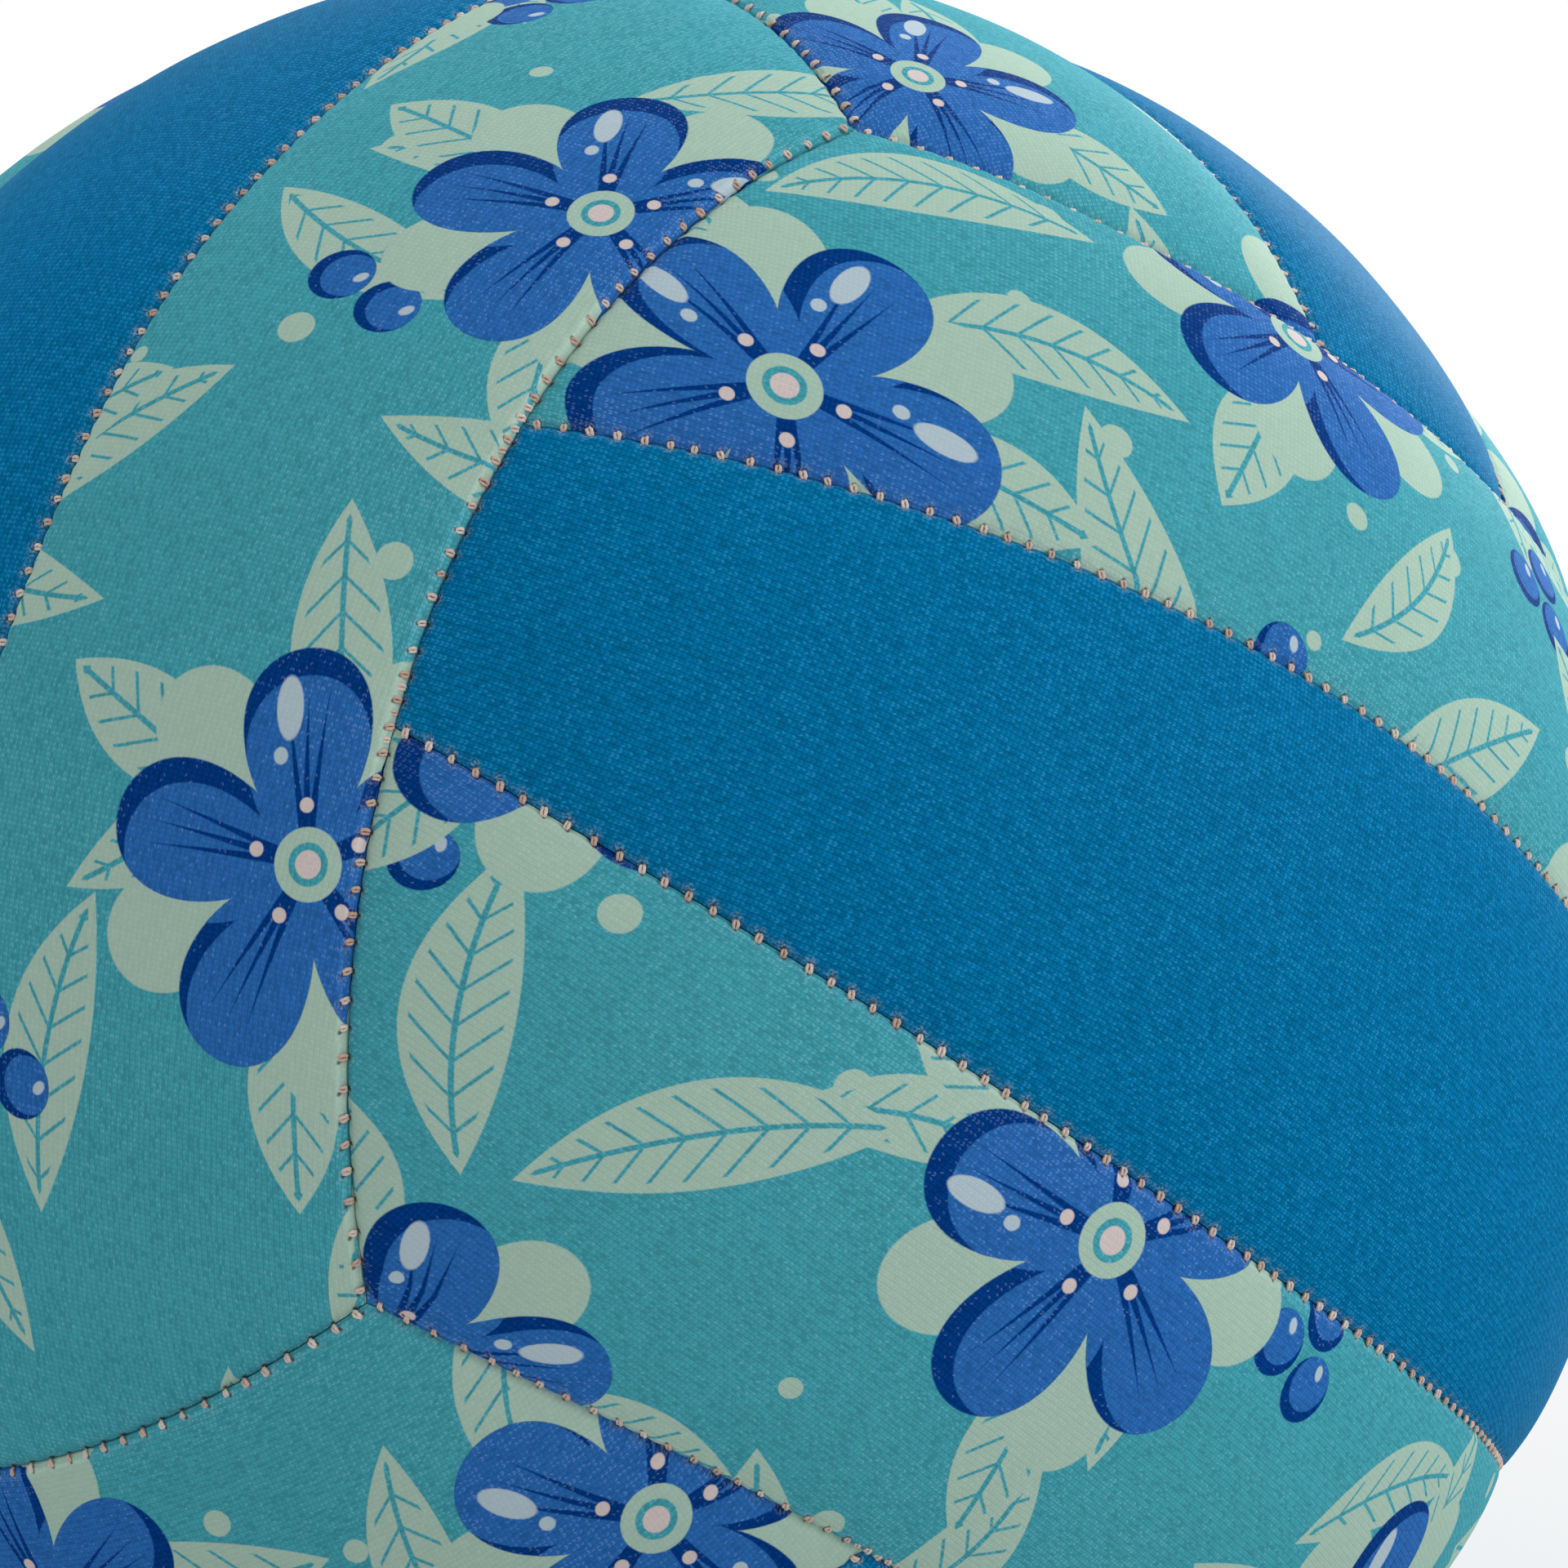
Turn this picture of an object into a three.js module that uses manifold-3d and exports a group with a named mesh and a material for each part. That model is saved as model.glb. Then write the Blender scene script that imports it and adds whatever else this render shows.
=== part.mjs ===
// A soft-touch volleyball as it is sewn: six faces of three foam-backed panels, the thread in
// every seam, and the air bladder inside with its valve.
// Millimetres, +Z up. The origin is the centre of the ball, +X goes through the middle of the
// front face, and the valve is in the back face, on -X.

import * as THREE from 'three';
import { mergeVertices } from 'three/addons/utils/BufferGeometryUtils.js';
import Module from 'manifold-3d';

const degree = Math.PI / 180;

// Ball and seam layout. Angles are seen from the centre of the ball.
const ballRadius = 105;                   // over the crowns of the panels, 660 mm round
const layoutTurn = 45 * degree;           // turns the faces about X, so that a seam lies on top
const seamBow = 8.6 * degree;             // how far a seam between two faces bows at its middle
const middleStripSpan = 28 * degree;      // width of a middle strip half way along it
const middleStripEndSpan = 16.9 * degree; // width of a middle strip where it meets the next face
const middleStripTaper = 1.83;            // power of the curve from the one width to the other

// Panels: knit face, foam and cloth back, bonded into one sheet.
const panelThickness = 3.5;
const seamGap = 0.3;                      // between the edges of two panels
const edgeRadius = 1.1;                   // rounding of a panel's edge down into the crease
const pillowDepth = 1.3;                  // how far a panel is drawn in at its edges
const pillowReach = 5;                    // how quickly that fades away from the edge
const alongCells = 12;
const acrossCells = 4;

// Seam thread, and the clearance that seated pieces keep.
const threadRadius = 0.4;
const threadSides = 5;
const stripThreadSteps = 12;
const faceThreadSteps = 10;
const seatGap = 0.3;

// Bladder and valve. Depths are measured along the valve's axis, towards the centre.
const bladderWall = 1.2;
const bladderRows = 11;
const turnedSides = 24;
const valveHeadRadius = 5;
const valveRecess = 0.6;                  // how far the valve's face lies below the crown
const valveFlangeRadius = 12;
const valveFlangeThickness = 1.6;
const valveStemRadius = 4.6;
const valveTipRadius = 3.9;
const valveStemLength = 24;
const valveBoreRadius = 3;
const valveLipRadius = 2.1;
const valveLipThickness = 1.5;
const coreRecess = 0.4;
const needleHoleRadius = 0.9;
const needleHoleDepth = 15;
const patchRadius = 15;
const patchThickness = 0.6;

// Worked out from the sizes above.
const cornerAngle = Math.atan(Math.SQRT1_2);
const panelInnerRadius = ballRadius - panelThickness;
const bladderRadius = panelInnerRadius - seatGap;
const bladderInnerRadius = bladderRadius - bladderWall;
const valveHoleRadius = valveHeadRadius + seatGap;
const valveFace = ballRadius - valveRecess;
const valveTip = valveFace - valveStemLength;

const printedKnit = new THREE.MeshStandardMaterial({ color: 0x5fa3ab, roughness: 0.8, metalness: 0 });
const plainKnit = new THREE.MeshStandardMaterial({ color: 0x0068a0, roughness: 0.75, metalness: 0 });
const tanThread = new THREE.MeshStandardMaterial({ color: 0xc9b598, roughness: 0.9, metalness: 0 });
const bladderRubber = new THREE.MeshStandardMaterial({ color: 0x2b2b2d, roughness: 0.6, metalness: 0 });
const valveRubber = new THREE.MeshStandardMaterial({ color: 0x1d2226, roughness: 0.55, metalness: 0 });
const patchCloth = new THREE.MeshStandardMaterial({ color: 0xd9d6cc, roughness: 0.9, metalness: 0 });

// Each face is built looking down its own Z, with its strips along X and side by side along Y.
const alongStrip = new THREE.Vector3(1, 0, 0);
const acrossStrip = new THREE.Vector3(0, 1, 0);
const faceNormal = new THREE.Vector3(0, 0, 1);

// A point of the seam between two faces, for x from -1 to 1. The strips of the first face end at
// this seam, a strip of the second runs beside it, and the seam bows towards the second.
function faceSeamPoint(ending, beside, direction, x) {
  const turn = x * cornerAngle;
  const bow = seamBow * (1 - x * x);
  const middle = ending.clone().add(beside).normalize();
  const sideways = beside.clone().sub(ending).normalize();
  return middle
    .multiplyScalar(Math.cos(turn))
    .addScaledVector(direction, Math.sin(turn))
    .multiplyScalar(Math.cos(bow))
    .addScaledVector(sideways, Math.sin(bow));
}

function longSidePoint(side, x) {
  return faceSeamPoint(acrossStrip.clone().multiplyScalar(side), faceNormal, alongStrip, x);
}

function stripEndPoint(end, x) {
  return faceSeamPoint(faceNormal, alongStrip.clone().multiplyScalar(end), acrossStrip, x);
}

// The seam between two strips of a face, for x from -1 to 1 along it.
const junction = middleStripEndSpan / 2 / cornerAngle;
const seamTip = stripEndPoint(1, junction);
const tipAlong = Math.atan2(seamTip.x, seamTip.z);
const tipAcross = Math.asin(seamTip.y);

function stripSeamPoint(side, x) {
  const along = x * tipAlong;
  const half = middleStripSpan / 2;
  const across = side * (half + (tipAcross - half) * Math.abs(x) ** middleStripTaper);
  return new THREE.Vector3(
    Math.sin(along) * Math.cos(across), Math.sin(across), Math.cos(along) * Math.cos(across));
}

// The four seams across a face, and where each meets the seams at the strips' ends.
const seamsAcross = [
  (x) => longSidePoint(-1, x),
  (x) => stripSeamPoint(-1, x),
  (x) => stripSeamPoint(1, x),
  (x) => longSidePoint(1, x),
];
const endStations = [-1, -junction, junction, 1];

// A point of a strip inside its four seams, for u along and v across it, each from 0 to 1.
function stripPoint(strip, u, v) {
  const low = seamsAcross[strip];
  const high = seamsAcross[strip + 1];
  const endX = THREE.MathUtils.lerp(endStations[strip], endStations[strip + 1], v);
  const x = 2 * u - 1;
  return new THREE.Vector3()
    .addScaledVector(low(x), 1 - v)
    .addScaledVector(high(x), v)
    .addScaledVector(stripEndPoint(-1, endX), 1 - u)
    .addScaledVector(stripEndPoint(1, endX), u)
    .addScaledVector(low(-1), -(1 - u) * (1 - v))
    .addScaledVector(low(1), -u * (1 - v))
    .addScaledVector(high(-1), -(1 - u) * v)
    .addScaledVector(high(1), -u * v)
    .normalize();
}

function stripLength(strip, v) {
  return ballRadius * 2 * stripPoint(strip, 0, v).angleTo(stripPoint(strip, 0.5, v));
}

function stripWidth(strip, u) {
  return ballRadius * stripPoint(strip, u, 0).angleTo(stripPoint(strip, u, 1));
}

// Grid lines over a length, as shares of it: the given insets at both ends, even cells between.
function gridLines(insets, cells, length) {
  const shares = insets.map((inset) => inset / length);
  const first = shares.at(-1);
  const even = Array.from({ length: cells - 1 }, (_, i) => first + ((i + 1) / cells) * (1 - 2 * first));
  return [...shares, ...even, ...shares.toReversed().map((share) => 1 - share)];
}

// How far a panel's outer face lies below the crown, from the distances to its four edges.
function panelDrop(distances) {
  const crown = distances.reduce((left, d) => left * (1 - Math.exp(-d / pillowReach)), 1);
  const toEnd = Math.min(distances[0], distances[1]);
  const toSide = Math.min(distances[2], distances[3]);
  const overAlong = Math.max(edgeRadius - toEnd, 0);
  const overAcross = Math.max(edgeRadius - toSide, 0);
  const over = Math.min(Math.hypot(overAlong, overAcross), edgeRadius - seamGap / 2);
  return pillowDepth * (1 - crown) + edgeRadius - Math.sqrt(edgeRadius ** 2 - over ** 2);
}

// One face of a panel: a grid of points, at the radius that radiusAt gives for the edge distances.
function panelGrid(strip, insets, radiusAt) {
  const usualAlong = gridLines(insets, alongCells, stripLength(strip, 0.5));
  const usualAcross = gridLines(insets, acrossCells, stripWidth(strip, 0.5));
  const widths = usualAlong.map((u) => stripWidth(strip, u));
  const points = [];
  const shares = [];
  usualAcross.forEach((usualV, j) => {
    const length = stripLength(strip, usualV);
    const linesAlong = gridLines(insets, alongCells, length);
    widths.forEach((width, i) => {
      const u = linesAlong[i];
      const v = gridLines(insets, acrossCells, width)[j];
      const radius = radiusAt([u * length, (1 - u) * length, v * width, (1 - v) * width]);
      points.push(stripPoint(strip, u, v).multiplyScalar(radius));
      shares.push([u, v]);
    });
  });
  return { points, shares, columns: usualAlong.length, rows: usualAcross.length };
}

// The rim of a grid, counter-clockwise, with how far round each point is.
function gridRim({ shares, columns, rows }) {
  const rim = [];
  for (let i = 0; i < columns - 1; i++) {
    rim.push({ at: i, round: shares[i][0] });
  }
  for (let j = 0; j < rows - 1; j++) {
    const at = j * columns + columns - 1;
    rim.push({ at, round: 1 + shares[at][1] });
  }
  for (let i = columns - 1; i > 0; i--) {
    const at = (rows - 1) * columns + i;
    rim.push({ at, round: 3 - shares[at][0] });
  }
  for (let j = rows - 1; j > 0; j--) {
    const at = j * columns;
    rim.push({ at, round: 4 - shares[at][1] });
  }
  return rim;
}

function gridTriangles({ columns, rows }) {
  const triangles = [];
  for (let j = 0; j < rows - 1; j++) {
    for (let i = 0; i < columns - 1; i++) {
      const a = j * columns + i;
      const b = a + columns;
      triangles.push([a, a + 1, b + 1], [a, b + 1, b]);
    }
  }
  return triangles;
}

// The wall between the rims of the outer and the inner face, which have different counts.
function wallTriangles(outerRim, innerRim, innerStart) {
  const triangles = [];
  const roundOf = (rim, k) => (k < rim.length ? rim[k].round : 4 + rim[0].round);
  let i = 0;
  let j = 0;
  while (i < outerRim.length || j < innerRim.length) {
    const outer = outerRim[i % outerRim.length].at;
    const inner = innerStart + innerRim[j % innerRim.length].at;
    const outerFirst = roundOf(outerRim, i + 1) <= roundOf(innerRim, j + 1);
    if (j === innerRim.length || (i < outerRim.length && outerFirst)) {
      i += 1;
      triangles.push([inner, outerRim[i % outerRim.length].at, outer]);
    } else {
      j += 1;
      triangles.push([inner, innerStart + innerRim[j % innerRim.length].at, outer]);
    }
  }
  return triangles;
}

function panelGeometry(strip) {
  const edgeInset = seamGap / 2;
  const shoulder = THREE.MathUtils.lerp(edgeInset, edgeRadius, 0.3);
  const outer = panelGrid(strip, [edgeInset, shoulder, edgeRadius], (d) => ballRadius - panelDrop(d));
  // The inner points are lifted so that the middles of the flat cells clear the inner radius.
  const cellAlong = (2 * tipAlong) / alongCells;
  const cellAcross = stripWidth(strip, 0) / ballRadius / acrossCells;
  const lifted = panelInnerRadius / Math.cos(Math.hypot(cellAlong, cellAcross) / 2);
  const inner = panelGrid(strip, [edgeInset], () => lifted);
  const innerStart = outer.points.length;
  const triangles = [
    ...gridTriangles(outer),
    ...gridTriangles(inner).map(([a, b, c]) => [innerStart + a, innerStart + c, innerStart + b]),
    ...wallTriangles(gridRim(outer), gridRim(inner), innerStart),
  ];
  const geometry = new THREE.BufferGeometry().setFromPoints([...outer.points, ...inner.points]);
  geometry.setIndex(triangles.flat());
  geometry.computeVertexNormals();
  return geometry;
}

// The thread lies in the crease, clear of the rounded edges on both sides.
const threadReach = edgeRadius + threadRadius + seatGap;
const threadDepth = pillowDepth + edgeRadius - Math.sqrt(threadReach ** 2 - edgeRadius ** 2);
const threadLine = ballRadius - threadDepth;

class SeamCurve extends THREE.Curve {
  constructor(pointAt, reach) {
    super();
    this.pointAt = pointAt;
    this.reach = reach;
  }

  getPoint(t, target = new THREE.Vector3()) {
    return target.copy(this.pointAt((2 * t - 1) * this.reach)).multiplyScalar(threadLine);
  }
}

function threadGeometry(pointAt, halfAngle, endGap, steps) {
  const section = new THREE.Shape(Array.from({ length: threadSides }, (_, i) => {
    const turn = (i / threadSides) * 2 * Math.PI;
    return new THREE.Vector2(threadRadius * Math.cos(turn), threadRadius * Math.sin(turn));
  }));
  const reach = 1 - endGap / (halfAngle * threadLine);
  const extrudePath = new SeamCurve(pointAt, reach);
  return new THREE.ExtrudeGeometry(section, { steps, extrudePath });
}

// A thread between strips stops beside the thread that it meets square on. Three threads meet at
// a corner of the faces, 120 degrees apart.
const stripThreadEndGap = threadRadius + seatGap;
const faceThreadEndGap = (threadRadius * Math.cos(60 * degree) + seatGap / 2) / Math.sin(60 * degree);

// A turned piece: the profile's points are [distance from the axis, height along it].
function turnedGeometry(profile) {
  const points = profile.map(([r, z]) => new THREE.Vector2(r, z));
  return new THREE.LatheGeometry(points, turnedSides).rotateX(Math.PI / 2);
}

// Height of a sphere at a distance from the valve's axis.
function sphereHeight(radius, r) {
  return Math.sqrt(radius ** 2 - r ** 2);
}

function bladderGeometry() {
  const arc = (radius) => {
    const rim = Math.asin(valveHoleRadius / radius);
    const flangeRim = Math.asin((valveFlangeRadius + seatGap) / radius);
    const even = Array.from(
      { length: bladderRows }, (_, i) => flangeRim + ((i + 1) / bladderRows) * (Math.PI - flangeRim));
    return [rim, flangeRim, ...even].map((turn, i) => [
      i === bladderRows + 1 ? 0 : radius * Math.sin(turn), radius * Math.cos(turn)]);
  };
  return turnedGeometry([...arc(bladderRadius).toReversed(), ...arc(bladderInnerRadius)]);
}

function valveHousingGeometry() {
  const flangeTop = bladderInnerRadius - seatGap;
  const flangeRoot = sphereHeight(flangeTop, valveHoleRadius);
  const flangeRim = sphereHeight(flangeTop, valveFlangeRadius);
  return turnedGeometry([
    [valveBoreRadius, valveFace],
    [valveBoreRadius, valveTip + valveLipThickness],
    [valveLipRadius, valveTip + valveLipThickness],
    [valveLipRadius, valveTip],
    [valveTipRadius, valveTip],
    [valveStemRadius, flangeRoot - valveFlangeThickness],
    [valveFlangeRadius, flangeRim - valveFlangeThickness],
    [valveFlangeRadius, flangeRim],
    [valveHeadRadius, flangeRoot],
    [valveHeadRadius, valveFace],
    [valveBoreRadius, valveFace],
  ]);
}

function valveCoreGeometry() {
  const radius = valveBoreRadius - seatGap;
  const top = valveFace - coreRecess;
  const bottom = valveTip + valveLipThickness + seatGap;
  return turnedGeometry([
    [0, bottom],
    [radius, bottom],
    [radius, top],
    [needleHoleRadius, top],
    [needleHoleRadius, top - needleHoleDepth],
    [0, top - needleHoleDepth],
  ]);
}

// A washer that follows the ball, from an inner to an outer distance from the valve's axis.
function curvedWasher(innerRadius, outerRadius, lowRadius, highRadius) {
  const profile = [
    [innerRadius, sphereHeight(lowRadius, innerRadius)],
    [outerRadius, sphereHeight(lowRadius, outerRadius)],
    [outerRadius, sphereHeight(highRadius, outerRadius)],
    [innerRadius, sphereHeight(highRadius, innerRadius)],
  ];
  return innerRadius > 0 ? [...profile, profile[0]] : profile;
}

const patchHigh = panelInnerRadius + patchThickness;
const patchProfile = curvedWasher(valveHoleRadius, patchRadius, panelInnerRadius, patchHigh);
const patchSeat = curvedWasher(0, patchRadius + seatGap, bladderInnerRadius, patchHigh + seatGap);
const valveHole = [
  [0, bladderInnerRadius],
  [valveHoleRadius, bladderInnerRadius],
  [valveHoleRadius, ballRadius + edgeRadius],
  [0, ballRadius + edgeRadius],
];

const wasm = await Module();
wasm.setup();

function toManifold(geometry) {
  const bare = geometry.clone();
  bare.deleteAttribute('normal');
  bare.deleteAttribute('uv');
  const merged = mergeVertices(bare);
  const corners = merged.index.array;
  const triVerts = [];
  for (let i = 0; i < corners.length; i += 3) {
    const [a, b, c] = corners.slice(i, i + 3);
    if (a !== b && b !== c && c !== a) triVerts.push(a, b, c);
  }
  return new wasm.Manifold(new wasm.Mesh({
    numProp: 3,
    vertProperties: new Float32Array(merged.attributes.position.array),
    triVerts: new Uint32Array(triVerts),
  }));
}

function fromManifold(solid) {
  const { numProp, vertProperties, triVerts } = solid.getMesh();
  const geometry = new THREE.BufferGeometry();
  geometry.setAttribute('position', new THREE.BufferAttribute(vertProperties, numProp));
  geometry.setIndex(new THREE.BufferAttribute(triVerts, 1));
  geometry.computeVertexNormals();
  return geometry;
}

// The panel over the valve has its hole, and a seat for the patch on its inside.
function valvePanelGeometry(panel) {
  const hole = toManifold(turnedGeometry(valveHole));
  const seat = toManifold(turnedGeometry(patchSeat));
  return fromManifold(toManifold(panel).subtract(hole).subtract(seat));
}

function named(name, geometry, material) {
  const mesh = new THREE.Mesh(geometry, material);
  mesh.name = name;
  return mesh;
}

// A group turned so that its own X, Y and Z lie along the given strip direction, across and normal.
function turnedGroup(along, across, normal) {
  const group = new THREE.Group();
  const basis = new THREE.Matrix4().makeBasis(
    new THREE.Vector3(...along), new THREE.Vector3(...across), new THREE.Vector3(...normal));
  group.quaternion.setFromRotationMatrix(basis);
  return group;
}

const faces = {
  front: turnedGroup([0, 1, 0], [0, 0, 1], [1, 0, 0]),
  back: turnedGroup([0, 1, 0], [0, 0, -1], [-1, 0, 0]),
  upper_right: turnedGroup([1, 0, 0], [0, 1, 0], [0, 0, 1]),
  lower_left: turnedGroup([1, 0, 0], [0, -1, 0], [0, 0, -1]),
  lower_right: turnedGroup([0, 0, 1], [1, 0, 0], [0, 1, 0]),
  upper_left: turnedGroup([0, 0, 1], [-1, 0, 0], [0, -1, 0]),
};

const panels = [0, 1, 2].map(panelGeometry);
const stripThreads = [-1, 1].map((side) => threadGeometry(
  (x) => stripSeamPoint(side, x), tipAlong, stripThreadEndGap, stripThreadSteps));
const faceThreads = [-1, 1].map((side) => threadGeometry(
  (x) => longSidePoint(side, x), cornerAngle, faceThreadEndGap, faceThreadSteps));

const layout = new THREE.Group();
layout.rotation.x = -layoutTurn;
for (const [name, face] of Object.entries(faces)) {
  const middlePanel = name === 'back' ? valvePanelGeometry(panels[1]) : panels[1];
  face.add(
    named(`${name}_outer_panel_a`, panels[0], printedKnit),
    named(`${name}_middle_panel`, middlePanel, plainKnit),
    named(`${name}_outer_panel_b`, panels[2], printedKnit),
    named(`${name}_strip_thread_a`, stripThreads[0], tanThread),
    named(`${name}_strip_thread_b`, stripThreads[1], tanThread),
    named(`${name}_edge_thread_a`, faceThreads[0], tanThread),
    named(`${name}_edge_thread_b`, faceThreads[1], tanThread),
  );
  layout.add(face);
}

faces.back.add(
  named('bladder', bladderGeometry(), bladderRubber),
  named('valve_housing', valveHousingGeometry(), valveRubber),
  named('valve_core', valveCoreGeometry(), valveRubber),
  named('valve_patch', turnedGeometry(patchProfile), patchCloth),
);

const volleyball = new THREE.Group();
volleyball.add(layout);

export default volleyball;
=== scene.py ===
from functools import partial
import math

import bmesh
import bpy
import numpy as np
from mathutils import Matrix, Vector


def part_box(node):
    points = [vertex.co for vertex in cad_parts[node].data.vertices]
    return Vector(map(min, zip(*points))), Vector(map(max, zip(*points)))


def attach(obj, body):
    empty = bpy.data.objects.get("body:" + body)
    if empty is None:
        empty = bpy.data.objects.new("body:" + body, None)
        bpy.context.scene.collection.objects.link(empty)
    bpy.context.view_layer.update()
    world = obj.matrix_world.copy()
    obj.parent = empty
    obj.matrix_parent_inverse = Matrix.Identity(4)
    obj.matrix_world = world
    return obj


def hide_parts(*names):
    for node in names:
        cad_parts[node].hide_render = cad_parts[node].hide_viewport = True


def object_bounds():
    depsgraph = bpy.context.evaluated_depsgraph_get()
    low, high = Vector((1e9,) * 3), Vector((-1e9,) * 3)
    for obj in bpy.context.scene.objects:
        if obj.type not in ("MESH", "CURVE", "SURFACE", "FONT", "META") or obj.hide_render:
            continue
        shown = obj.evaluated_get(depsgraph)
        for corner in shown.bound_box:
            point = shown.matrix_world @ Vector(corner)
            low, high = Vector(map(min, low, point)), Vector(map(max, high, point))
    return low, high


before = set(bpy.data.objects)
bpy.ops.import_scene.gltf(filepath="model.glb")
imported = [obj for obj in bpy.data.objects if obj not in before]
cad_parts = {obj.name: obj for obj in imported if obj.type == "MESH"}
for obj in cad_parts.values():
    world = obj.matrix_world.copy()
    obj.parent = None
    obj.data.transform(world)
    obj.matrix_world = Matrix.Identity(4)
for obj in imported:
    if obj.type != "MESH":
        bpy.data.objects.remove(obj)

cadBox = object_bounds()
body = "root"
mm = 0.001
print("frame loaded")

# Seam layout of the ball, in radians and metres. A face is built looking down its own Z, with its
# three strips along X.
ball = {
    "radius": 105 * mm,  # over the crowns of the panels
    "layoutTurn": math.radians(45),  # turns the six faces about X
    "seamBow": math.radians(8.6),  # bow of a seam between two faces
    "middleSpan": math.radians(28),  # width of a middle strip half way along
    "middleEndSpan": math.radians(16.9),  # and where it meets the next face
    "middleTaper": 1.83,  # power by which it narrows between the two
}
cornerAngle = math.atan(math.sqrt(0.5))
alongStrip, acrossStrip, faceNormal = np.eye(3)
faceAxes = {  # strip direction, across and normal of each face
    "front": ((0, 1, 0), (0, 0, 1), (1, 0, 0)),
    "back": ((0, 1, 0), (0, 0, -1), (-1, 0, 0)),
    "upper_right": ((1, 0, 0), (0, 1, 0), (0, 0, 1)),
    "lower_left": ((1, 0, 0), (0, -1, 0), (0, 0, -1)),
    "lower_right": ((0, 0, 1), (1, 0, 0), (0, 1, 0)),
    "upper_left": ((0, 0, 1), (-1, 0, 0), (0, -1, 0)),
}
layoutTurn = np.array(Matrix.Rotation(-ball["layoutTurn"], 3, "X"))
faceTurns = {name: layoutTurn @ np.array(axes, float).T for name, axes in faceAxes.items()}


def unit(vectors):
    return vectors / np.linalg.norm(vectors, axis=-1, keepdims=True)


def faceSeam(ending, beside, direction, x):
    # a seam between two faces: strips of the first end at it, a strip of the second runs beside it
    turn = x[..., None] * cornerAngle
    bow = ball["seamBow"] * (1 - x[..., None] ** 2)
    onEdge = unit(ending + beside) * np.cos(turn) + direction * np.sin(turn)
    return onEdge * np.cos(bow) + unit(beside - ending) * np.sin(bow)


def longSide(side, x):
    return faceSeam(side * acrossStrip, faceNormal, alongStrip, x)


def stripEnd(end, x):
    return faceSeam(faceNormal, end * alongStrip, acrossStrip, x)


junction = ball["middleEndSpan"] / 2 / cornerAngle
seamTip = stripEnd(1, np.array(junction))
tipAlong = math.atan2(seamTip[0], seamTip[2])
tipAcross = math.asin(seamTip[1])


def stripSeam(side, x):
    half = ball["middleSpan"] / 2
    along = x * tipAlong
    across = side * (half + (tipAcross - half) * np.abs(x) ** ball["middleTaper"])
    return np.stack([np.sin(along) * np.cos(across), np.sin(across), np.cos(along) * np.cos(across)], -1)


seamsAcross = [partial(longSide, -1), partial(stripSeam, -1), partial(stripSeam, 1), partial(longSide, 1)]
endStations = [-1, -junction, junction, 1]


def stripPoint(strip, u, v):
    # a point inside the four seams of a strip, for u along and v across it
    low, high = seamsAcross[strip], seamsAcross[strip + 1]
    endX = endStations[strip] + (endStations[strip + 1] - endStations[strip]) * v
    a, b = u[..., None], v[..., None]
    one = np.ones_like(u)
    corners = (low(-one) * (1 - a) + low(one) * a) * (1 - b) + (high(-one) * (1 - a) + high(one) * a) * b
    sides = low(2 * u - 1) * (1 - b) + high(2 * u - 1) * b
    ends = stripEnd(-1, endX) * (1 - a) + stripEnd(1, endX) * a
    return unit(sides + ends - corners)


def angleBetween(p, q):
    return np.arccos(np.clip((p * q).sum(-1), -1, 1))


def stripLength(strip, v):
    zero = np.zeros_like(v)
    return 2 * ball["radius"] * angleBetween(stripPoint(strip, zero, v), stripPoint(strip, zero + 0.5, v))


def stripWidth(strip, u):
    zero = np.zeros_like(u)
    return ball["radius"] * angleBetween(stripPoint(strip, u, zero), stripPoint(strip, u, zero + 1))


# Node trees written as Python expressions
def operators(operation):
    # an operator between wires and numbers, and its reflected form
    def plain(self, other):
        return self.graph.maths(operation, self, other)

    def reflected(self, other):
        return self.graph.maths(operation, other, self)

    return plain, reflected


class Wire:
    def __init__(self, graph, socket):
        self.graph = graph
        self.socket = socket

    def __getitem__(self, output):
        return Wire(self.graph, self.socket.node.outputs[output])

    def __abs__(self):
        return self.graph.maths("ABSOLUTE", self)

    __add__, __radd__ = operators("ADD")
    __sub__, __rsub__ = operators("SUBTRACT")
    __mul__, __rmul__ = operators("MULTIPLY")
    __truediv__, __rtruediv__ = operators("DIVIDE")
    __lt__, __gt__ = operators("LESS_THAN")  # a > b is b < a


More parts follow.
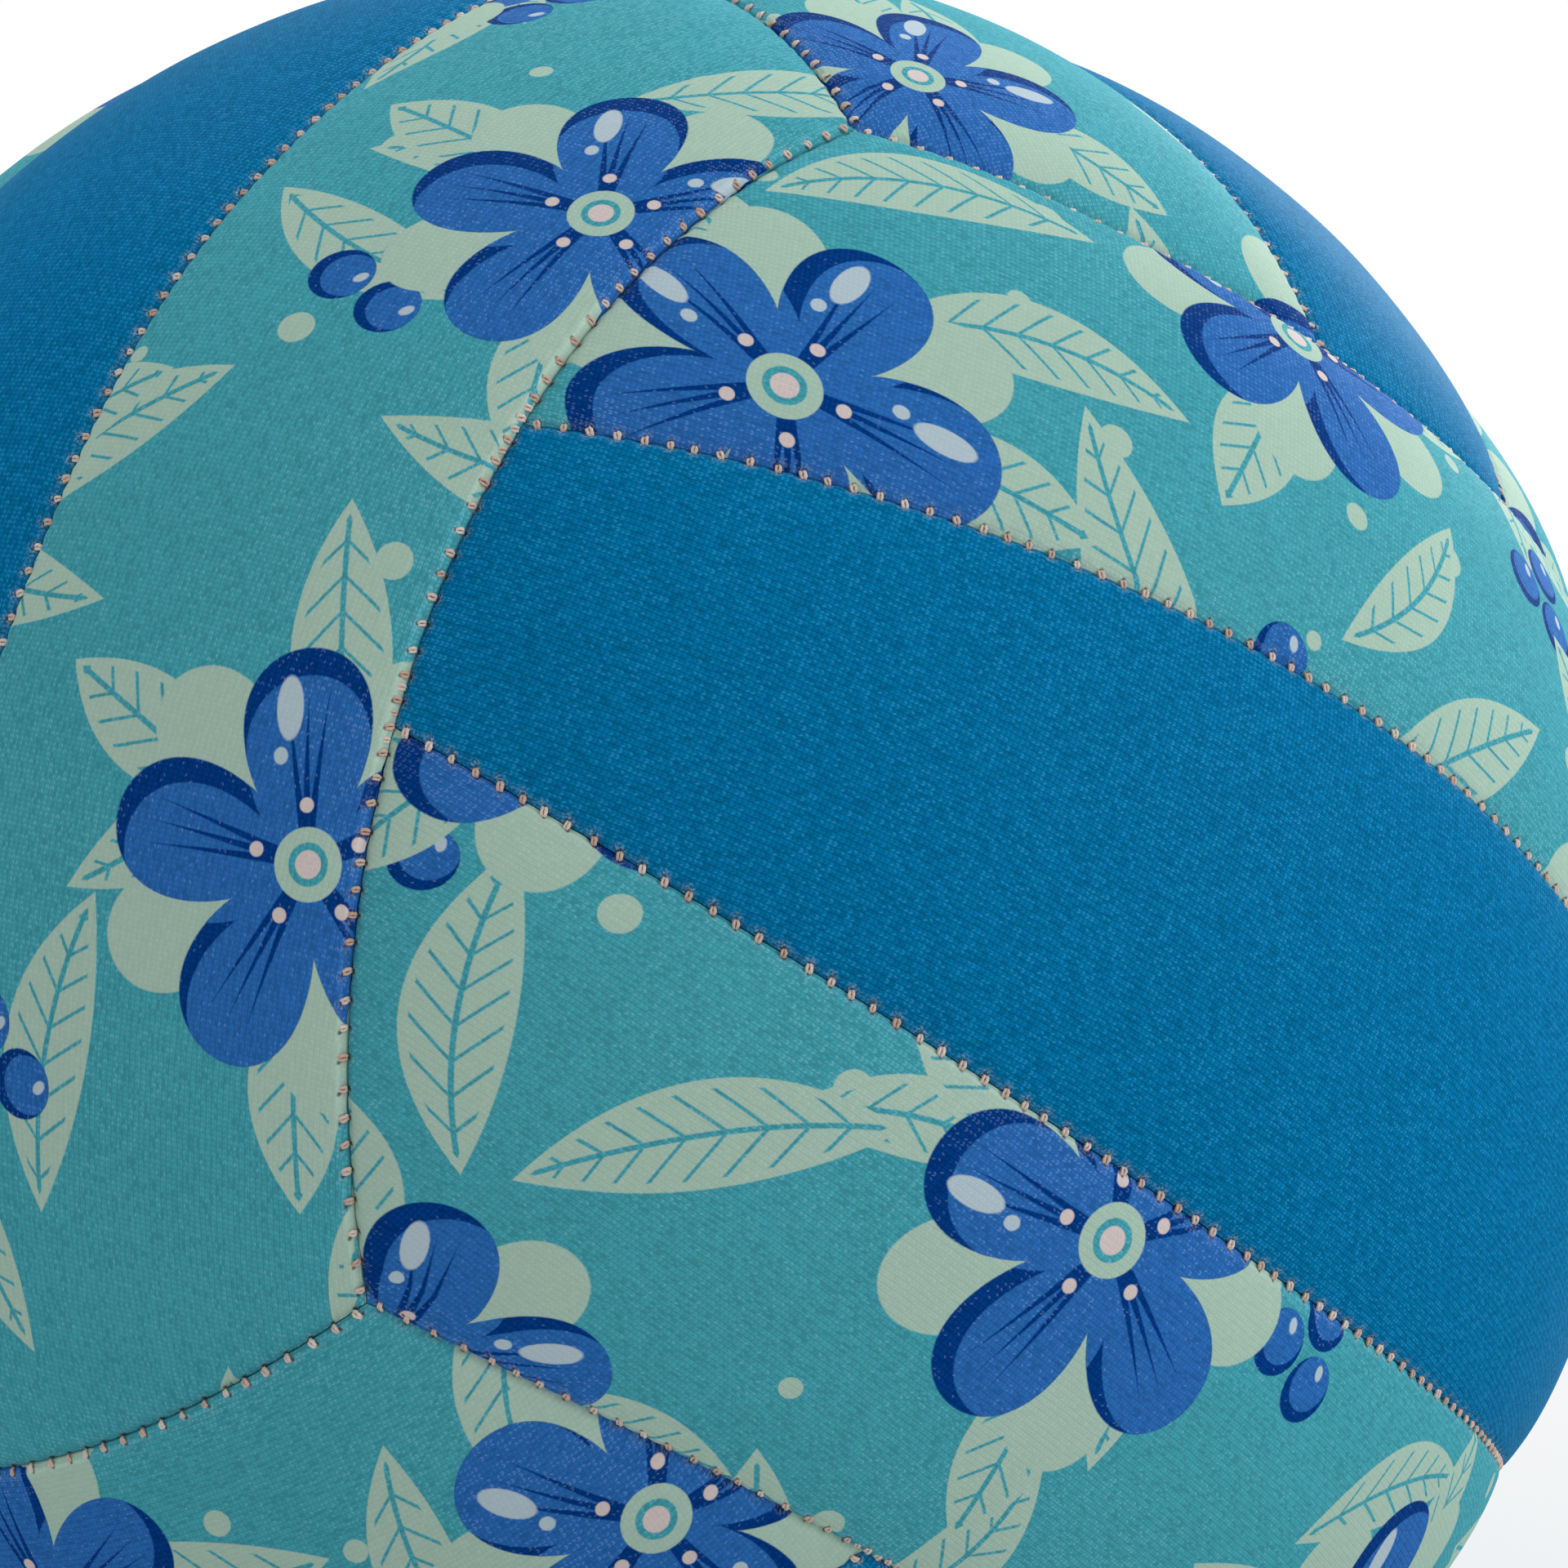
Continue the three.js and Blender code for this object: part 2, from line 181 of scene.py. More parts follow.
class Graph:
    def __init__(self, tree):
        self.tree = tree

    def node(self, kind, settings=None, values=None, output=0):
        made = self.tree.nodes.new(kind)
        for name, value in (settings or {}).items():
            setattr(made, name, value)
        for name, value in (values or {}).items():
            if isinstance(value, Wire):
                self.tree.links.new(value.socket, made.inputs[name])
            else:
                made.inputs[name].default_value = value
        return Wire(self, made.outputs[output]) if made.outputs else made

    def maths(self, operation, *values):
        return self.node("ShaderNodeMath", {"operation": operation}, dict(enumerate(values)))

    def limited(self, value):
        return self.node("ShaderNodeClamp", None, {"Value": value})

    def far(self, x, y):
        return self.maths("SQRT", x * x + y * y)

    def scaled(self, vector, share):
        return self.node("ShaderNodeVectorMath", {"operation": "SCALE"}, {0: vector, "Scale": share})

    def summed(self, *vectors):
        total = vectors[0]
        for vector in vectors[1:]:
            total = self.node("ShaderNodeVectorMath", {"operation": "ADD"}, {0: total, 1: vector})
        return total

    def mixed(self, share, first, second):
        inputs = {0: share, 6: first, 7: second}
        return self.node("ShaderNodeMix", {"data_type": "RGBA"}, inputs, 2)

    def joined(self, x, y, z=0.0):
        return self.node("ShaderNodeCombineXYZ", None, {0: x, 1: y, 2: z})

    def parts(self, vector):
        split = self.node("ShaderNodeSeparateXYZ", None, {0: vector})
        return split[0], split[1], split[2]

    def bump(self, height, distance, strength):
        values = {"Height": height, "Distance": distance, "Strength": strength}
        return self.node("ShaderNodeBump", None, values)

    def finish(self, shader, settings):
        made = self.node(shader, None, settings)
        self.node("ShaderNodeOutputMaterial", None, {"Surface": made})

    def uvMap(self, name):
        return self.node("ShaderNodeUVMap", {"uv_map": name})

    def noise(self, vector, size, detail=2.0):
        values = {"Vector": vector, "Scale": 1 / size, "Detail": detail}
        return self.node("ShaderNodeTexNoise", None, values)

    def patches(self, vector, size, gain, start, detail=2.0):
        # a noise sharpened into patches from 0 to 1
        return self.limited(self.noise(vector, size, detail) * gain - start)


def colour(red, green, blue):
    # from the 0 to 255 values that a picture shows
    shares = [value / 255 for value in (red, green, blue)]
    return (*[s / 12.92 if s < 0.04045 else ((s + 0.055) / 1.055) ** 2.4 for s in shares], 1.0)


def newMaterial(name):
    material = bpy.data.materials.new(name)
    material.use_nodes = True
    material.node_tree.nodes.clear()
    return material, Graph(material.node_tree)


def newTree(name, floats, others):
    # a Geometry Nodes tree with its named inputs: numbers, and others given as name to kind
    tree = bpy.data.node_groups.new(name, "GeometryNodeTree")
    kinds = {"Geometry": "Geometry", **dict.fromkeys(floats, "Float"), **others}
    for label, kind in kinds.items():
        tree.interface.new_socket(label, in_out="INPUT", socket_type="NodeSocket" + kind)
    tree.interface.new_socket("Geometry", in_out="OUTPUT", socket_type="NodeSocketGeometry")
    graph = Graph(tree)
    return graph, graph.node("NodeGroupInput")


def applied(piece, modifier):
    # leaves a piece the plain mesh that a modifier makes of it
    view = bpy.context.evaluated_depsgraph_get()
    mesh = bpy.data.meshes.new_from_object(
        piece.evaluated_get(view), preserve_all_data_layers=True, depsgraph=view)
    mesh.name = piece.name
    piece.modifiers.remove(modifier)
    piece.data = mesh


def grown(piece, tree, values):
    modifier = piece.modifiers.new("form", "NODES")
    modifier.node_group = tree
    for item in tree.interface.items_tree:
        if item.in_out == "INPUT" and item.name in values:
            modifier[item.identifier] = values[item.name]
    applied(piece, modifier)


def smoothed(mesh):
    mesh.polygons.foreach_set("use_smooth", np.ones(len(mesh.polygons), bool))
    return mesh


def newPiece(name, mesh):
    piece = bpy.data.objects.new(name, mesh)
    bpy.context.scene.collection.objects.link(piece)
    return piece


def place(piece, slot, *nodes):
    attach(piece, body)
    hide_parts(*nodes)


# Camera, floor and light
photoCamera = {
    "azimuth": math.radians(51.32),
    "elevation": math.radians(13.5),
    "roll": math.radians(12.7),
    "distance": 0.539,
    "lens": 117.5,  # in mm, as the sensor
    "sensor": 36,
    "shift": (0.0982, 0.1179),
}


def makeCamera():
    azimuth, elevation = photoCamera["azimuth"], photoCamera["elevation"]
    back = Vector((
        math.sin(azimuth) * math.cos(elevation),
        -math.cos(azimuth) * math.cos(elevation),
        math.sin(elevation),
    ))
    data = bpy.data.cameras.new("photoCamera")
    data.sensor_width = photoCamera["sensor"]
    data.lens = photoCamera["lens"]
    data.shift_x, data.shift_y = photoCamera["shift"]
    data.clip_start = 0.01
    camera = newPiece("photoCamera", data)
    roll = Matrix.Rotation(-photoCamera["roll"], 4, "Z")
    facing = (-back).to_track_quat("-Z", "Y").to_matrix().to_4x4()
    camera.matrix_world = Matrix.Translation(back * photoCamera["distance"]) @ facing @ roll
    bpy.context.scene.camera = camera
    return camera


studio = {
    "worldLight": 0.71,
    "floorRadius": 3.0,
    "floorColour": (0.68, 0.68, 0.68, 1),
    "floorGlow": 0.6,  # share of the floor that the camera sees as plain white
    "glowFrom": 0.25,  # from here outwards that share grows to the whole
    "glowReach": 0.9,
    "lamps": {  # power, size, and direction: right, up, back of the camera
        "keyLight": (11.8, 1.3, (0.93, 0.20, 0.31)),
        "topLight": (10.3, 1.3, (-0.04, 0.89, -0.46)),
        "rimLight": (18.0, 1.0, (0.55, 0.40, -0.73)),
    },
    "lampDistance": 1.5,
}


def seenPlainly(graph):
    # 1 for the rays that show a surface as it is: camera, glossy and transmission rays
    rays = graph.node("ShaderNodeLightPath")
    seen = graph.maths("MAXIMUM", rays["Is Camera Ray"], rays["Is Glossy Ray"])
    return graph.maths("MAXIMUM", seen, rays["Is Transmission Ray"])


def makeWorld():
    world = bpy.data.worlds.new("studio")
    world.use_nodes = True
    world.node_tree.nodes.clear()
    graph = Graph(world.node_tree)
    strength = studio["worldLight"] + seenPlainly(graph) * (1 - studio["worldLight"])
    light = graph.node("ShaderNodeBackground", None, {"Color": (1, 1, 1, 1), "Strength": strength})
    graph.node("ShaderNodeOutputWorld", None, {"Surface": light})
    bpy.context.scene.world = world


def makeFloor():
    mesh = bpy.data.meshes.new("floor")
    side = studio["floorRadius"]
    corners = [(-side, -side), (side, -side), (side, side), (-side, side)]
    mesh.from_pydata([(x, y, cadBox[0].z) for x, y in corners], [], [(0, 1, 2, 3)])
    floor = newPiece("floor", mesh)
    material, graph = newMaterial("paleFloor")
    x, y, _ = graph.parts(graph.node("ShaderNodeTexCoord")["Object"])
    fade = graph.limited((graph.far(x, y) - studio["glowFrom"]) / studio["glowReach"])
    matt = graph.node("ShaderNodeBsdfDiffuse", None, {"Color": studio["floorColour"]})
    white = graph.node("ShaderNodeEmission", None, {"Color": (1, 1, 1, 1), "Strength": 1.0})
    share = seenPlainly(graph) * (studio["floorGlow"] + fade * (1 - studio["floorGlow"]))
    graph.finish("ShaderNodeMixShader", {0: share, 1: matt, 2: white})
    mesh.materials.append(material)


def makeLamps(camera):
    turn = camera.matrix_world.to_3x3()
    for name, (power, size, lampFrom) in studio["lamps"].items():
        direction = (turn @ Vector(lampFrom)).normalized()
        data = bpy.data.lights.new(name, "AREA")
        data.shape = "DISK"
        data.size = size
        data.energy = power
        lamp = newPiece(name, data)
        lamp.location = direction * studio["lampDistance"]
        lamp.rotation_euler = (-direction).to_track_quat("-Z", "Y").to_euler()


bpy.context.scene.view_settings.view_transform = "Standard"
camera = makeCamera()
makeWorld()
makeFloor()
makeLamps(camera)
print("camera, floor and light ready")


# Stitches: their sizes and spacing, which the panels' pull and needle holes follow as well.
stitch = {
    "pitch": 2.4 * mm,
    "wander": 0.055,  # waver of the spacing, in stitches
    "waves": (4.3, 7.1),  # how many stitches long its waves are
    "doubled": 1,  # extra stitches to each side of a junction
    "halfWidth": 0.40 * mm,
    "depth": 1.40 * mm,  # of the thread's middle under the crown
    "edgeDepth": 1.14 * mm,  # the same on a seam between two faces, where it lies
    "edgeShift": 0.22 * mm,  # off the crease, on the edge of the panel that runs beside it
    "edgeTilt": math.radians(32),
    "tuck": 0.36 * mm,  # how far its ends dip into the panels
    "strandRadius": 0.16 * mm,
    "strandApart": (0.12 * mm, 0.34 * mm),  # between the two strands at the ends and half way
    "strandLift": 0.3,  # of each strand out of line with the other, in radii
    "sides": 5,
    "steps": 6,
    "lumps": 0.14 * mm,  # unevenness of the worn thread
    "lumpSize": 0.24 * mm,
    "slant": math.radians(16),
    "slantSpread": 0.25,  # most that one stitch turns to either side, in radians
    "sizes": (0.88, 1.15),  # smallest and largest, as shares of the model's
    "holeRadius": 0.17 * mm,
    "samples": 2000,  # along a seam, to find its stitches' places
    "seed": 11,
}
stripSeamLength = float(2 * ball["radius"] * tipAlong)
faceSeamLength = float(2 * ball["radius"] * cornerAngle)
stripStitches = round(stripSeamLength / stitch["pitch"])
faceStitches = round(faceSeamLength / stitch["pitch"])


def stitchPhase(share, count):
    # the stitches that have gone by at a share of a seam, alike from both of its ends
    away = 2 * math.pi * count * (share - 0.5)
    return count * share + stitch["wander"] * sum(np.sin(away / wave) for wave in stitch["waves"])


# Knit of the panels' faces. Its pattern reads the panel's own map, in metres, with the ribs along X.
knit = {
    "walePitch": 0.576 * mm,
    "coursePitch": 0.475 * mm,
    "lean": 0.45,  # rise of a loop's legs, in courses
    "split": 0.45,  # how deep the groove between a loop's legs is
    "neck": 0.4,  # height of a rib between two loops
    "middle": 0.42,  # height that keeps the cloth's own tone
    "height": 0.038 * mm,
    "waver": 0.10 * mm,
    "waverSize": 3.0 * mm,
    "unlike": 0.6,  # how unlike in tone and shine the loops are
    "paleContrast": 0.8,  # share of the painted shading of the loops that a pale tint takes away
    "thickSize": 6 * mm,  # of the patches where the painted highlights on the loops are stronger
    # patches where more loops get a painted highlight
    "wornSize": 45 * mm,
    "stretchReach": 5 * mm,  # from a seam, where more loops get a painted highlight
    "stretchShare": 0.35,
    "darkShare": 0.12,  # of the loops took more dye
    "bump": 0.8,
    "blotchSize": 9 * mm,
    "blotch": 0.1,
    "finish": {
        "Roughness": 0.60,
        "Sheen Weight": 0.02,
        "Sheen Roughness": 0.22,
        "Specular IOR Level": 0.004,  # so little that it shows only towards the ball's rim
        "Coat Roughness": 0.40,  # of the loops' crests
    },
}
cloth = {
    "plainBlue": colour(2, 108, 157),
    # colour of the painted highlights on the plain loops
    "plainSpeck": colour(70, 158, 200),
    "teal": colour(66, 155, 169),
    "mint": colour(164, 193, 178),
    "cobalt": colour(42, 103, 174),
    "navy": colour(0, 55, 125),
    "paleBlue": colour(176, 194, 204),
    "blush": colour(207, 194, 192),
    # painted shade inside the needle holes
    "needleHole": colour(84, 56, 46),
    "lint": colour(206, 212, 212),
}
plainLook = {
    "contrast": 0.62,  # painted shade in the grooves and painted highlight on the loops' crests
    "speckShare": 0.18,  # of the loops get a painted highlight
    "wornShare": 0.08,  # more of them do in some patches
    "speckTint": cloth["plainSpeck"],
    "speckStrength": 0.36,
    "dark": 0.08,  # shade of the loops that took more dye
    "shine": 0.10,
    "lint": 0.8,  # how strongly it shows beside the seams
}
printedLook = {
    "contrast": 0.40,
    "speckShare": 0.05,
    "wornShare": 0.30,
    # painted highlight on the loops, in the lint's pale colour
    "speckTint": cloth["lint"],
    "speckStrength": 0.15,
    "dark": 0.17,
    "shine": 0.14,
    "lint": 0.45,
}


def knitPattern(graph, look):
    # V-shaped loops: their height from 0 to 1, a random number for each, their crests, and those crests
    # that get a painted highlight
    spot = graph.uvMap("weave")
    dx, dy, _ = graph.parts(graph.noise(spot, knit["waverSize"], 1.0)["Color"])
    x, y, _ = graph.parts(spot)
    wale = (y + (dy - 0.5) * (2 * knit["waver"])) / knit["walePitch"]
    leg = abs(graph.maths("FRACT", wale) - 0.5) * 2
    course = (x + (dx - 0.5) * (2 * knit["waver"])) / knit["coursePitch"] + leg * knit["lean"]
    legs = graph.maths("SINE", graph.maths("FRACT", wale * 2) * math.pi)
    rib = legs * knit["split"] + (1 - leg * leg) * (1 - knit["split"])
    loop = 0.5 - 0.5 * graph.maths("COSINE", course * (2 * math.pi))
    height = rib * (knit["neck"] + (1 - knit["neck"]) * loop)
    number = graph.joined(graph.maths("FLOOR", course), graph.maths("FLOOR", wale * 2))
    lot = graph.node("ShaderNodeTexWhiteNoise", {"noise_dimensions": "2D"}, {"Vector": number})
    strongGlints = graph.patches(spot, knit["thickSize"], 6, 2.4)
    glintPatches = graph.patches(spot, knit["wornSize"], 5, 2.3, 1.0)
    _, away, _ = graph.parts(graph.uvMap("hem"))
    seamGlint = graph.limited(1 - away / knit["stretchReach"])
    # share of loops with a painted highlight: more in some patches and near a seam
    share = look["speckShare"] + glintPatches * look["wornShare"] + seamGlint * knit["stretchShare"]
    crest = graph.limited(height * 2.5 - 1.2)  # 1 on top of a loop
    paintedGlints = (lot > 1 - share) * crest * (0.5 + strongGlints * 0.5)
    return height, lot, crest, paintedGlints


# Marks along the seams, measured from the line of their stitches
hem = {
    "foldAt": 0.42 * mm,  # middle of the lit fold
    "foldReach": 0.40 * mm,
    "foldLight": 0.16,
    "fibreSize": 0.22 * mm,
    "patchSize": 4 * mm,
    "lintStrength": 0.26,  # along the fold
    "tuftStrength": 0.6,  # round a needle hole
    "tuftRadius": 0.55 * mm,
    "holeShade": 0.85,
    "holeDepth": 4,  # in heights of the knit
}


def hemMarks(graph, tint, height, lint):
    # needle holes with painted shade in them beside the seams, and lint and a painted highlight along
    # their folds, from the panel's map of its seams
    count, away, _ = graph.parts(graph.uvMap("hem"))
    along = (graph.maths("FRACT", count) - 0.5) * stitch["pitch"]
    along = along + stitch["halfWidth"] * math.sin(stitch["slant"])
    apart = graph.far(along, away - stitch["halfWidth"] * math.cos(stitch["slant"]))
    hole = graph.limited(1.5 - apart / stitch["holeRadius"])
    tuft = graph.limited(1.5 - apart / hem["tuftRadius"])
    fold = graph.limited(1 - abs(away - hem["foldAt"]) / hem["foldReach"])
    spot = graph.uvMap("weave")
    fibres = graph.patches(spot, hem["fibreSize"], 5, 2.3)
    where = graph.patches(spot, hem["patchSize"], 4, 1.4, 1.0)
    # painted highlight along the fold
    tint = graph.scaled(tint, 1 + fold * hem["foldLight"])
    tint = graph.mixed(fold * fibres * where * (hem["lintStrength"] * lint), tint, cloth["lint"])
    tint = graph.mixed(tuft * fibres * (hem["tuftStrength"] * lint), tint, cloth["lint"])
    # painted shade in the needle holes
    tint = graph.mixed(hole * hem["holeShade"], tint, cloth["needleHole"])
    return tint, height - hole * hem["holeDepth"]


def finishCloth(graph, tint, look):
    height, lot, crest, paintedGlints = knitPattern(graph, look)
    pale = graph.parts(tint)[0]
    contrast = look["contrast"] - pale * knit["paleContrast"]
    # painted shade in the loops' grooves and painted highlight on their crests, with a random tone for
    # each loop
    tone = 1 + (height - knit["middle"] + (lot - 0.5) * knit["unlike"]) * contrast
    dyed = (lot < knit["darkShare"]) * graph.limited(height * 3 - 1) * graph.limited(1 - 3 * pale)
    tint = graph.scaled(tint, tone - dyed * look["dark"])
    # painted highlights on some loops' crests
    tint = graph.mixed(paintedGlints * look["speckStrength"], tint, look["speckTint"])
    tint, height = hemMarks(graph, tint, height, look["lint"])
    graph.finish("ShaderNodeBsdfPrincipled", {
        **knit["finish"],
        "Base Color": tint,
        "Coat Weight": crest * (1 - knit["unlike"] + lot * knit["unlike"]) * look["shine"],
        "Normal": graph.bump(height, knit["height"], knit["bump"]),
    })


def plainKnit():
    material, graph = newMaterial("plainKnit")
    blotch = graph.noise(graph.uvMap("weave"), knit["blotchSize"], 3.0)
    tint = graph.scaled(cloth["plainBlue"][:3], 1 - knit["blotch"] / 2 + blotch * knit["blotch"])
    finishCloth(graph, tint, plainLook)
    return material


# Print: round blossoms, veined leaves, berries and dots, scattered by formula
printed = {
    "vein": 0.26 * mm,  # half the width of a leaf's middle vein
    "softness": 0.14 * mm,  # blur of an outline
    "blotchSize": 14 * mm,
    "blotch": 0.12,
}


def scattered(graph, x, y, cell, turn, seed):
    # a turned, staggered grid of cells: the place from the middle of its cell, and three random numbers
    c, s = math.cos(turn), math.sin(turn)
    along, up = (x * c + y * s) / cell, (y * c - x * s) / cell
    row = graph.maths("FLOOR", up)
    along = along + row * 0.5
    column = graph.maths("FLOOR", along)
    number = graph.joined(column, row, float(seed))
    lots = graph.node("ShaderNodeTexWhiteNoise", {"noise_dimensions": "3D"}, {"Vector": number})["Color"]
    return (along - column - 0.5) * cell, (up - row - 0.5) * cell, graph.parts(lots)


def covered(graph, depth):
    # 1 where the depth inside a shape's outline is over nothing
    return graph.limited(depth / printed["softness"] + 0.5)


def painted(graph, tint, depth, paint):
    return graph.mixed(covered(graph, depth), tint, paint)


def ray(graph, x, y, turn, arms):
    # the place along and across the nearest of some arms round a centre, and that arm's angle
    sector = 2 * math.pi / arms
    angle = graph.maths("ARCTAN2", y, x) + turn
    middle = graph.maths("FLOOR", angle / sector + 0.5) * sector
    own = angle - middle
    far = graph.far(x, y)
    return far * graph.maths("COSINE", own), far * graph.maths("SINE", own), middle - turn


def oval(x, y, long, wide):
    a, b = x / long, y / wide
    return (1 - (a * a + b * b)) * wide * 0.5


dot = {
    "cell": 14 * mm,
    "turn": 0.5,
    "seed": 3,
    "radius": 1.9 * mm,
    "smallest": 0.45,  # share of that radius
    "share": 0.34,  # of the cells that hold one
}


def addDots(graph, x, y, tint):
    dx, dy, (a, b, _) = scattered(graph, x, y, dot["cell"], dot["turn"], dot["seed"])
    radius = dot["radius"] * (dot["smallest"] + (1 - dot["smallest"]) * b)
    shown = (a > 1 - dot["share"]) * covered(graph, radius - graph.far(dx, dy))
    return graph.mixed(shown, tint, cloth["mint"])


leaf = {
    "cell": 40 * mm,
    "layers": ((0.35, 1), (1.25, 2)),  # turn and seed of each layer's grid
    "length": 17 * mm,  # from its middle to its tip
    "width": 5.2 * mm,
    "smallest": 0.70,
    "bend": 36,  # per metre
    "veinGap": 3.4 * mm,
    "veinSpread": 2.4 * mm,  # the same, measured square to the slanted veins
    "sideVein": 0.6,  # share of the middle vein's width
    "bareEdge": 0.9 * mm,  # which the veins don't reach
}


def leafShape(graph, px, py, length, width):
    # a pointed leaf along X: its depth, and that of its veins
    share = px / length
    depth = (1 - share * share) * width - abs(py)
    middle = printed["vein"] - abs(py)
    slanted = abs(graph.maths("FRACT", (px - abs(py)) / leaf["veinGap"]) - 0.5) * leaf["veinSpread"]
    veins = graph.maths("MAXIMUM", middle, printed["vein"] * leaf["sideVein"] - slanted)
    return depth, graph.maths("MINIMUM", veins, depth - leaf["bareEdge"])


def addLeaves(graph, x, y, tint, turn, seed):
    lx, ly, (a, b, c) = scattered(graph, x, y, leaf["cell"], turn, seed)
    size = leaf["smallest"] + (1 - leaf["smallest"]) * b
    cosine = graph.maths("COSINE", a * (2 * math.pi))
    sine = graph.maths("SINE", a * (2 * math.pi))
    px, py = lx * cosine + ly * sine, ly * cosine - lx * sine
    py = py + px * px * ((c - 0.5) * leaf["bend"])
    depth, veins = leafShape(graph, px, py, leaf["length"] * size, leaf["width"] * size)
    tint = painted(graph, tint, depth, cloth["mint"])
    return painted(graph, tint, veins, cloth["teal"])


berry = {
    "cell": 45 * mm,
    "turn": 2.1,
    "seed": 7,
    "radius": 3.1 * mm,
    "apart": 1.25,  # from the middle of the three, in radii
    "litShift": 0.5 * mm,
    "litShare": 0.84,
    "glintShift": 0.9 * mm,
    "glint": (0.75 * mm, 0.5 * mm),
    "share": 0.6,  # of the cells that hold them
}


def addBerries(graph, x, y, tint):
    bx, by, (a, _, c) = scattered(graph, x, y, berry["cell"], berry["turn"], berry["seed"])
    radius = berry["radius"]
    _, _, facing = ray(graph, bx, by, a * (2 * math.pi), 3)
    dx = bx - graph.maths("COSINE", facing) * (radius * berry["apart"])
    dy = by - graph.maths("SINE", facing) * (radius * berry["apart"])
    ring = radius - graph.far(dx, dy)
    lx, ly = dx + berry["litShift"], dy - berry["litShift"]
    lit = radius * berry["litShare"] - graph.far(lx, ly)
    glint = oval(lx + berry["glintShift"], ly - berry["glintShift"], *berry["glint"])
    berries = painted(graph, tint, ring, cloth["navy"])
    berries = painted(graph, berries, graph.maths("MINIMUM", lit, ring), cloth["cobalt"])
    berries = painted(graph, berries, glint, cloth["paleBlue"])
    return graph.mixed(c > 1 - berry["share"], tint, berries)


blossom = {
    "cell": 63 * mm,
    "turn": 0.85,
    "seed": 5,
    "radius": 21 * mm,
    "sizes": (0.86, 1.06),  # smallest and largest, as shares of that radius
    "petals": 5,
    "petal": (0.45, 0.31),  # half length and half width, in radii
    "taper": 0.22,  # how much wider it is towards its tip
    "disc": 0.3,  # that joins the petals, in radii
    "backPetal": (0.42, 0.25),  # of the pale blossom behind
    "backSize": 1.1,
    "sprigs": 3,
    "sprigTurn": 0.4,
    "sprigReach": 20 * mm,
    "sprig": (10.5 * mm, 4.6 * mm),  # half length and half width
    "shadow": 1.4 * mm,
    "litSize": 0.97,
    "foldSlope": 0.13,
    "foldEnd": 0.78,  # in radii
    "sunny": (2.2, -0.1),  # turn of the lit side, and least cosine of petals that have glints
    "glint": (0.72, 0.09, 0.15, 0.065),  # along, across, half length and half width, in radii
    "bead": (0.50, 0.13, 0.04, 0.035),
    "stamen": (0.27, 0, 0.035, 0.035),
    "rings": ((0.17, "mint"), (0.10, "teal"), (0.065, "blush")),
}


def petals(graph, x, y, radius, turn, halves):
    # rounded petals and the disc that joins them; also the place in the nearest petal
    long, wide = halves
    px, py, facing = ray(graph, x, y, turn, blossom["petals"])
    share = (px - radius * (1 - long)) / (radius * long)
    width = radius * wide * (1 + blossom["taper"] * share)
    across = py / width
    depth = (1 - (share * share + across * across)) * width * 0.5
    disc = radius * blossom["disc"] - graph.far(x, y)
    return graph.maths("MAXIMUM", depth, disc), px, py, facing


def petalMark(px, py, radius, mark):
    along, across, long, wide = mark
    return oval(px - radius * along, py - radius * across, radius * long, radius * wide)


def addBlossoms(graph, x, y, tint):
    bx, by, (a, b, _) = scattered(graph, x, y, blossom["cell"], blossom["turn"], blossom["seed"])
    turn = a * (2 * math.pi)
    small, large = blossom["sizes"]
    radius = blossom["radius"] * (small + (large - small) * b)
    px, py, _ = ray(graph, bx, by, turn + blossom["sprigTurn"], blossom["sprigs"])
    depth, veins = leafShape(graph, px - blossom["sprigReach"], py, *blossom["sprig"])
    tint = painted(graph, tint, depth, cloth["mint"])
    tint = painted(graph, tint, veins, cloth["teal"])
    halfPetal = math.pi / blossom["petals"]
    back = petals(graph, bx, by, radius * blossom["backSize"], turn + halfPetal, blossom["backPetal"])[0]
    tint = painted(graph, tint, back, cloth["mint"])

    depth, px, py, facing = petals(graph, bx, by, radius, turn, blossom["petal"])
    shade = blossom["shadow"]
    lit = petals(graph, bx + shade, by - shade, radius * blossom["litSize"], turn, blossom["petal"])[0]
    tint = painted(graph, tint, depth, cloth["navy"])
    tint = painted(graph, tint, graph.maths("MINIMUM", lit, depth), cloth["cobalt"])
    fold = graph.maths("MINIMUM", abs(abs(py) - px * blossom["foldSlope"]), abs(py))
    line = (1 - px / (radius * blossom["foldEnd"])) * (2 * printed["vein"]) - fold
    tint = painted(graph, tint, graph.maths("MINIMUM", line, depth), cloth["navy"])
    glint = petalMark(px, py, radius, blossom["glint"])
    bead = petalMark(px, py, radius, blossom["bead"])
    lights = painted(graph, tint, graph.maths("MAXIMUM", glint, bead), cloth["paleBlue"])
    side, least = blossom["sunny"]
    tint = graph.mixed(graph.maths("COSINE", facing + side) > least, tint, lights)
    tint = painted(graph, tint, petalMark(px, py, radius, blossom["stamen"]), cloth["blush"])
    far = graph.far(bx, by)
    for share, paint in blossom["rings"]:
        tint = painted(graph, tint, radius * share - far, cloth[paint])
    return tint


def printedKnit():
    material, graph = newMaterial("printedKnit")
    spot = graph.uvMap("print")
    x, y, _ = graph.parts(spot)
    blotch = graph.noise(spot, printed["blotchSize"])
    tint = graph.scaled(cloth["teal"][:3], 1 - printed["blotch"] / 2 + blotch * printed["blotch"])
    tint = addDots(graph, x, y, tint)
    for turn, seed in leaf["layers"]:
        tint = addLeaves(graph, x, y, tint, turn, seed)
    tint = addBerries(graph, x, y, tint)
    tint = addBlossoms(graph, x, y, tint)
    finishCloth(graph, tint, printedLook)
    return material


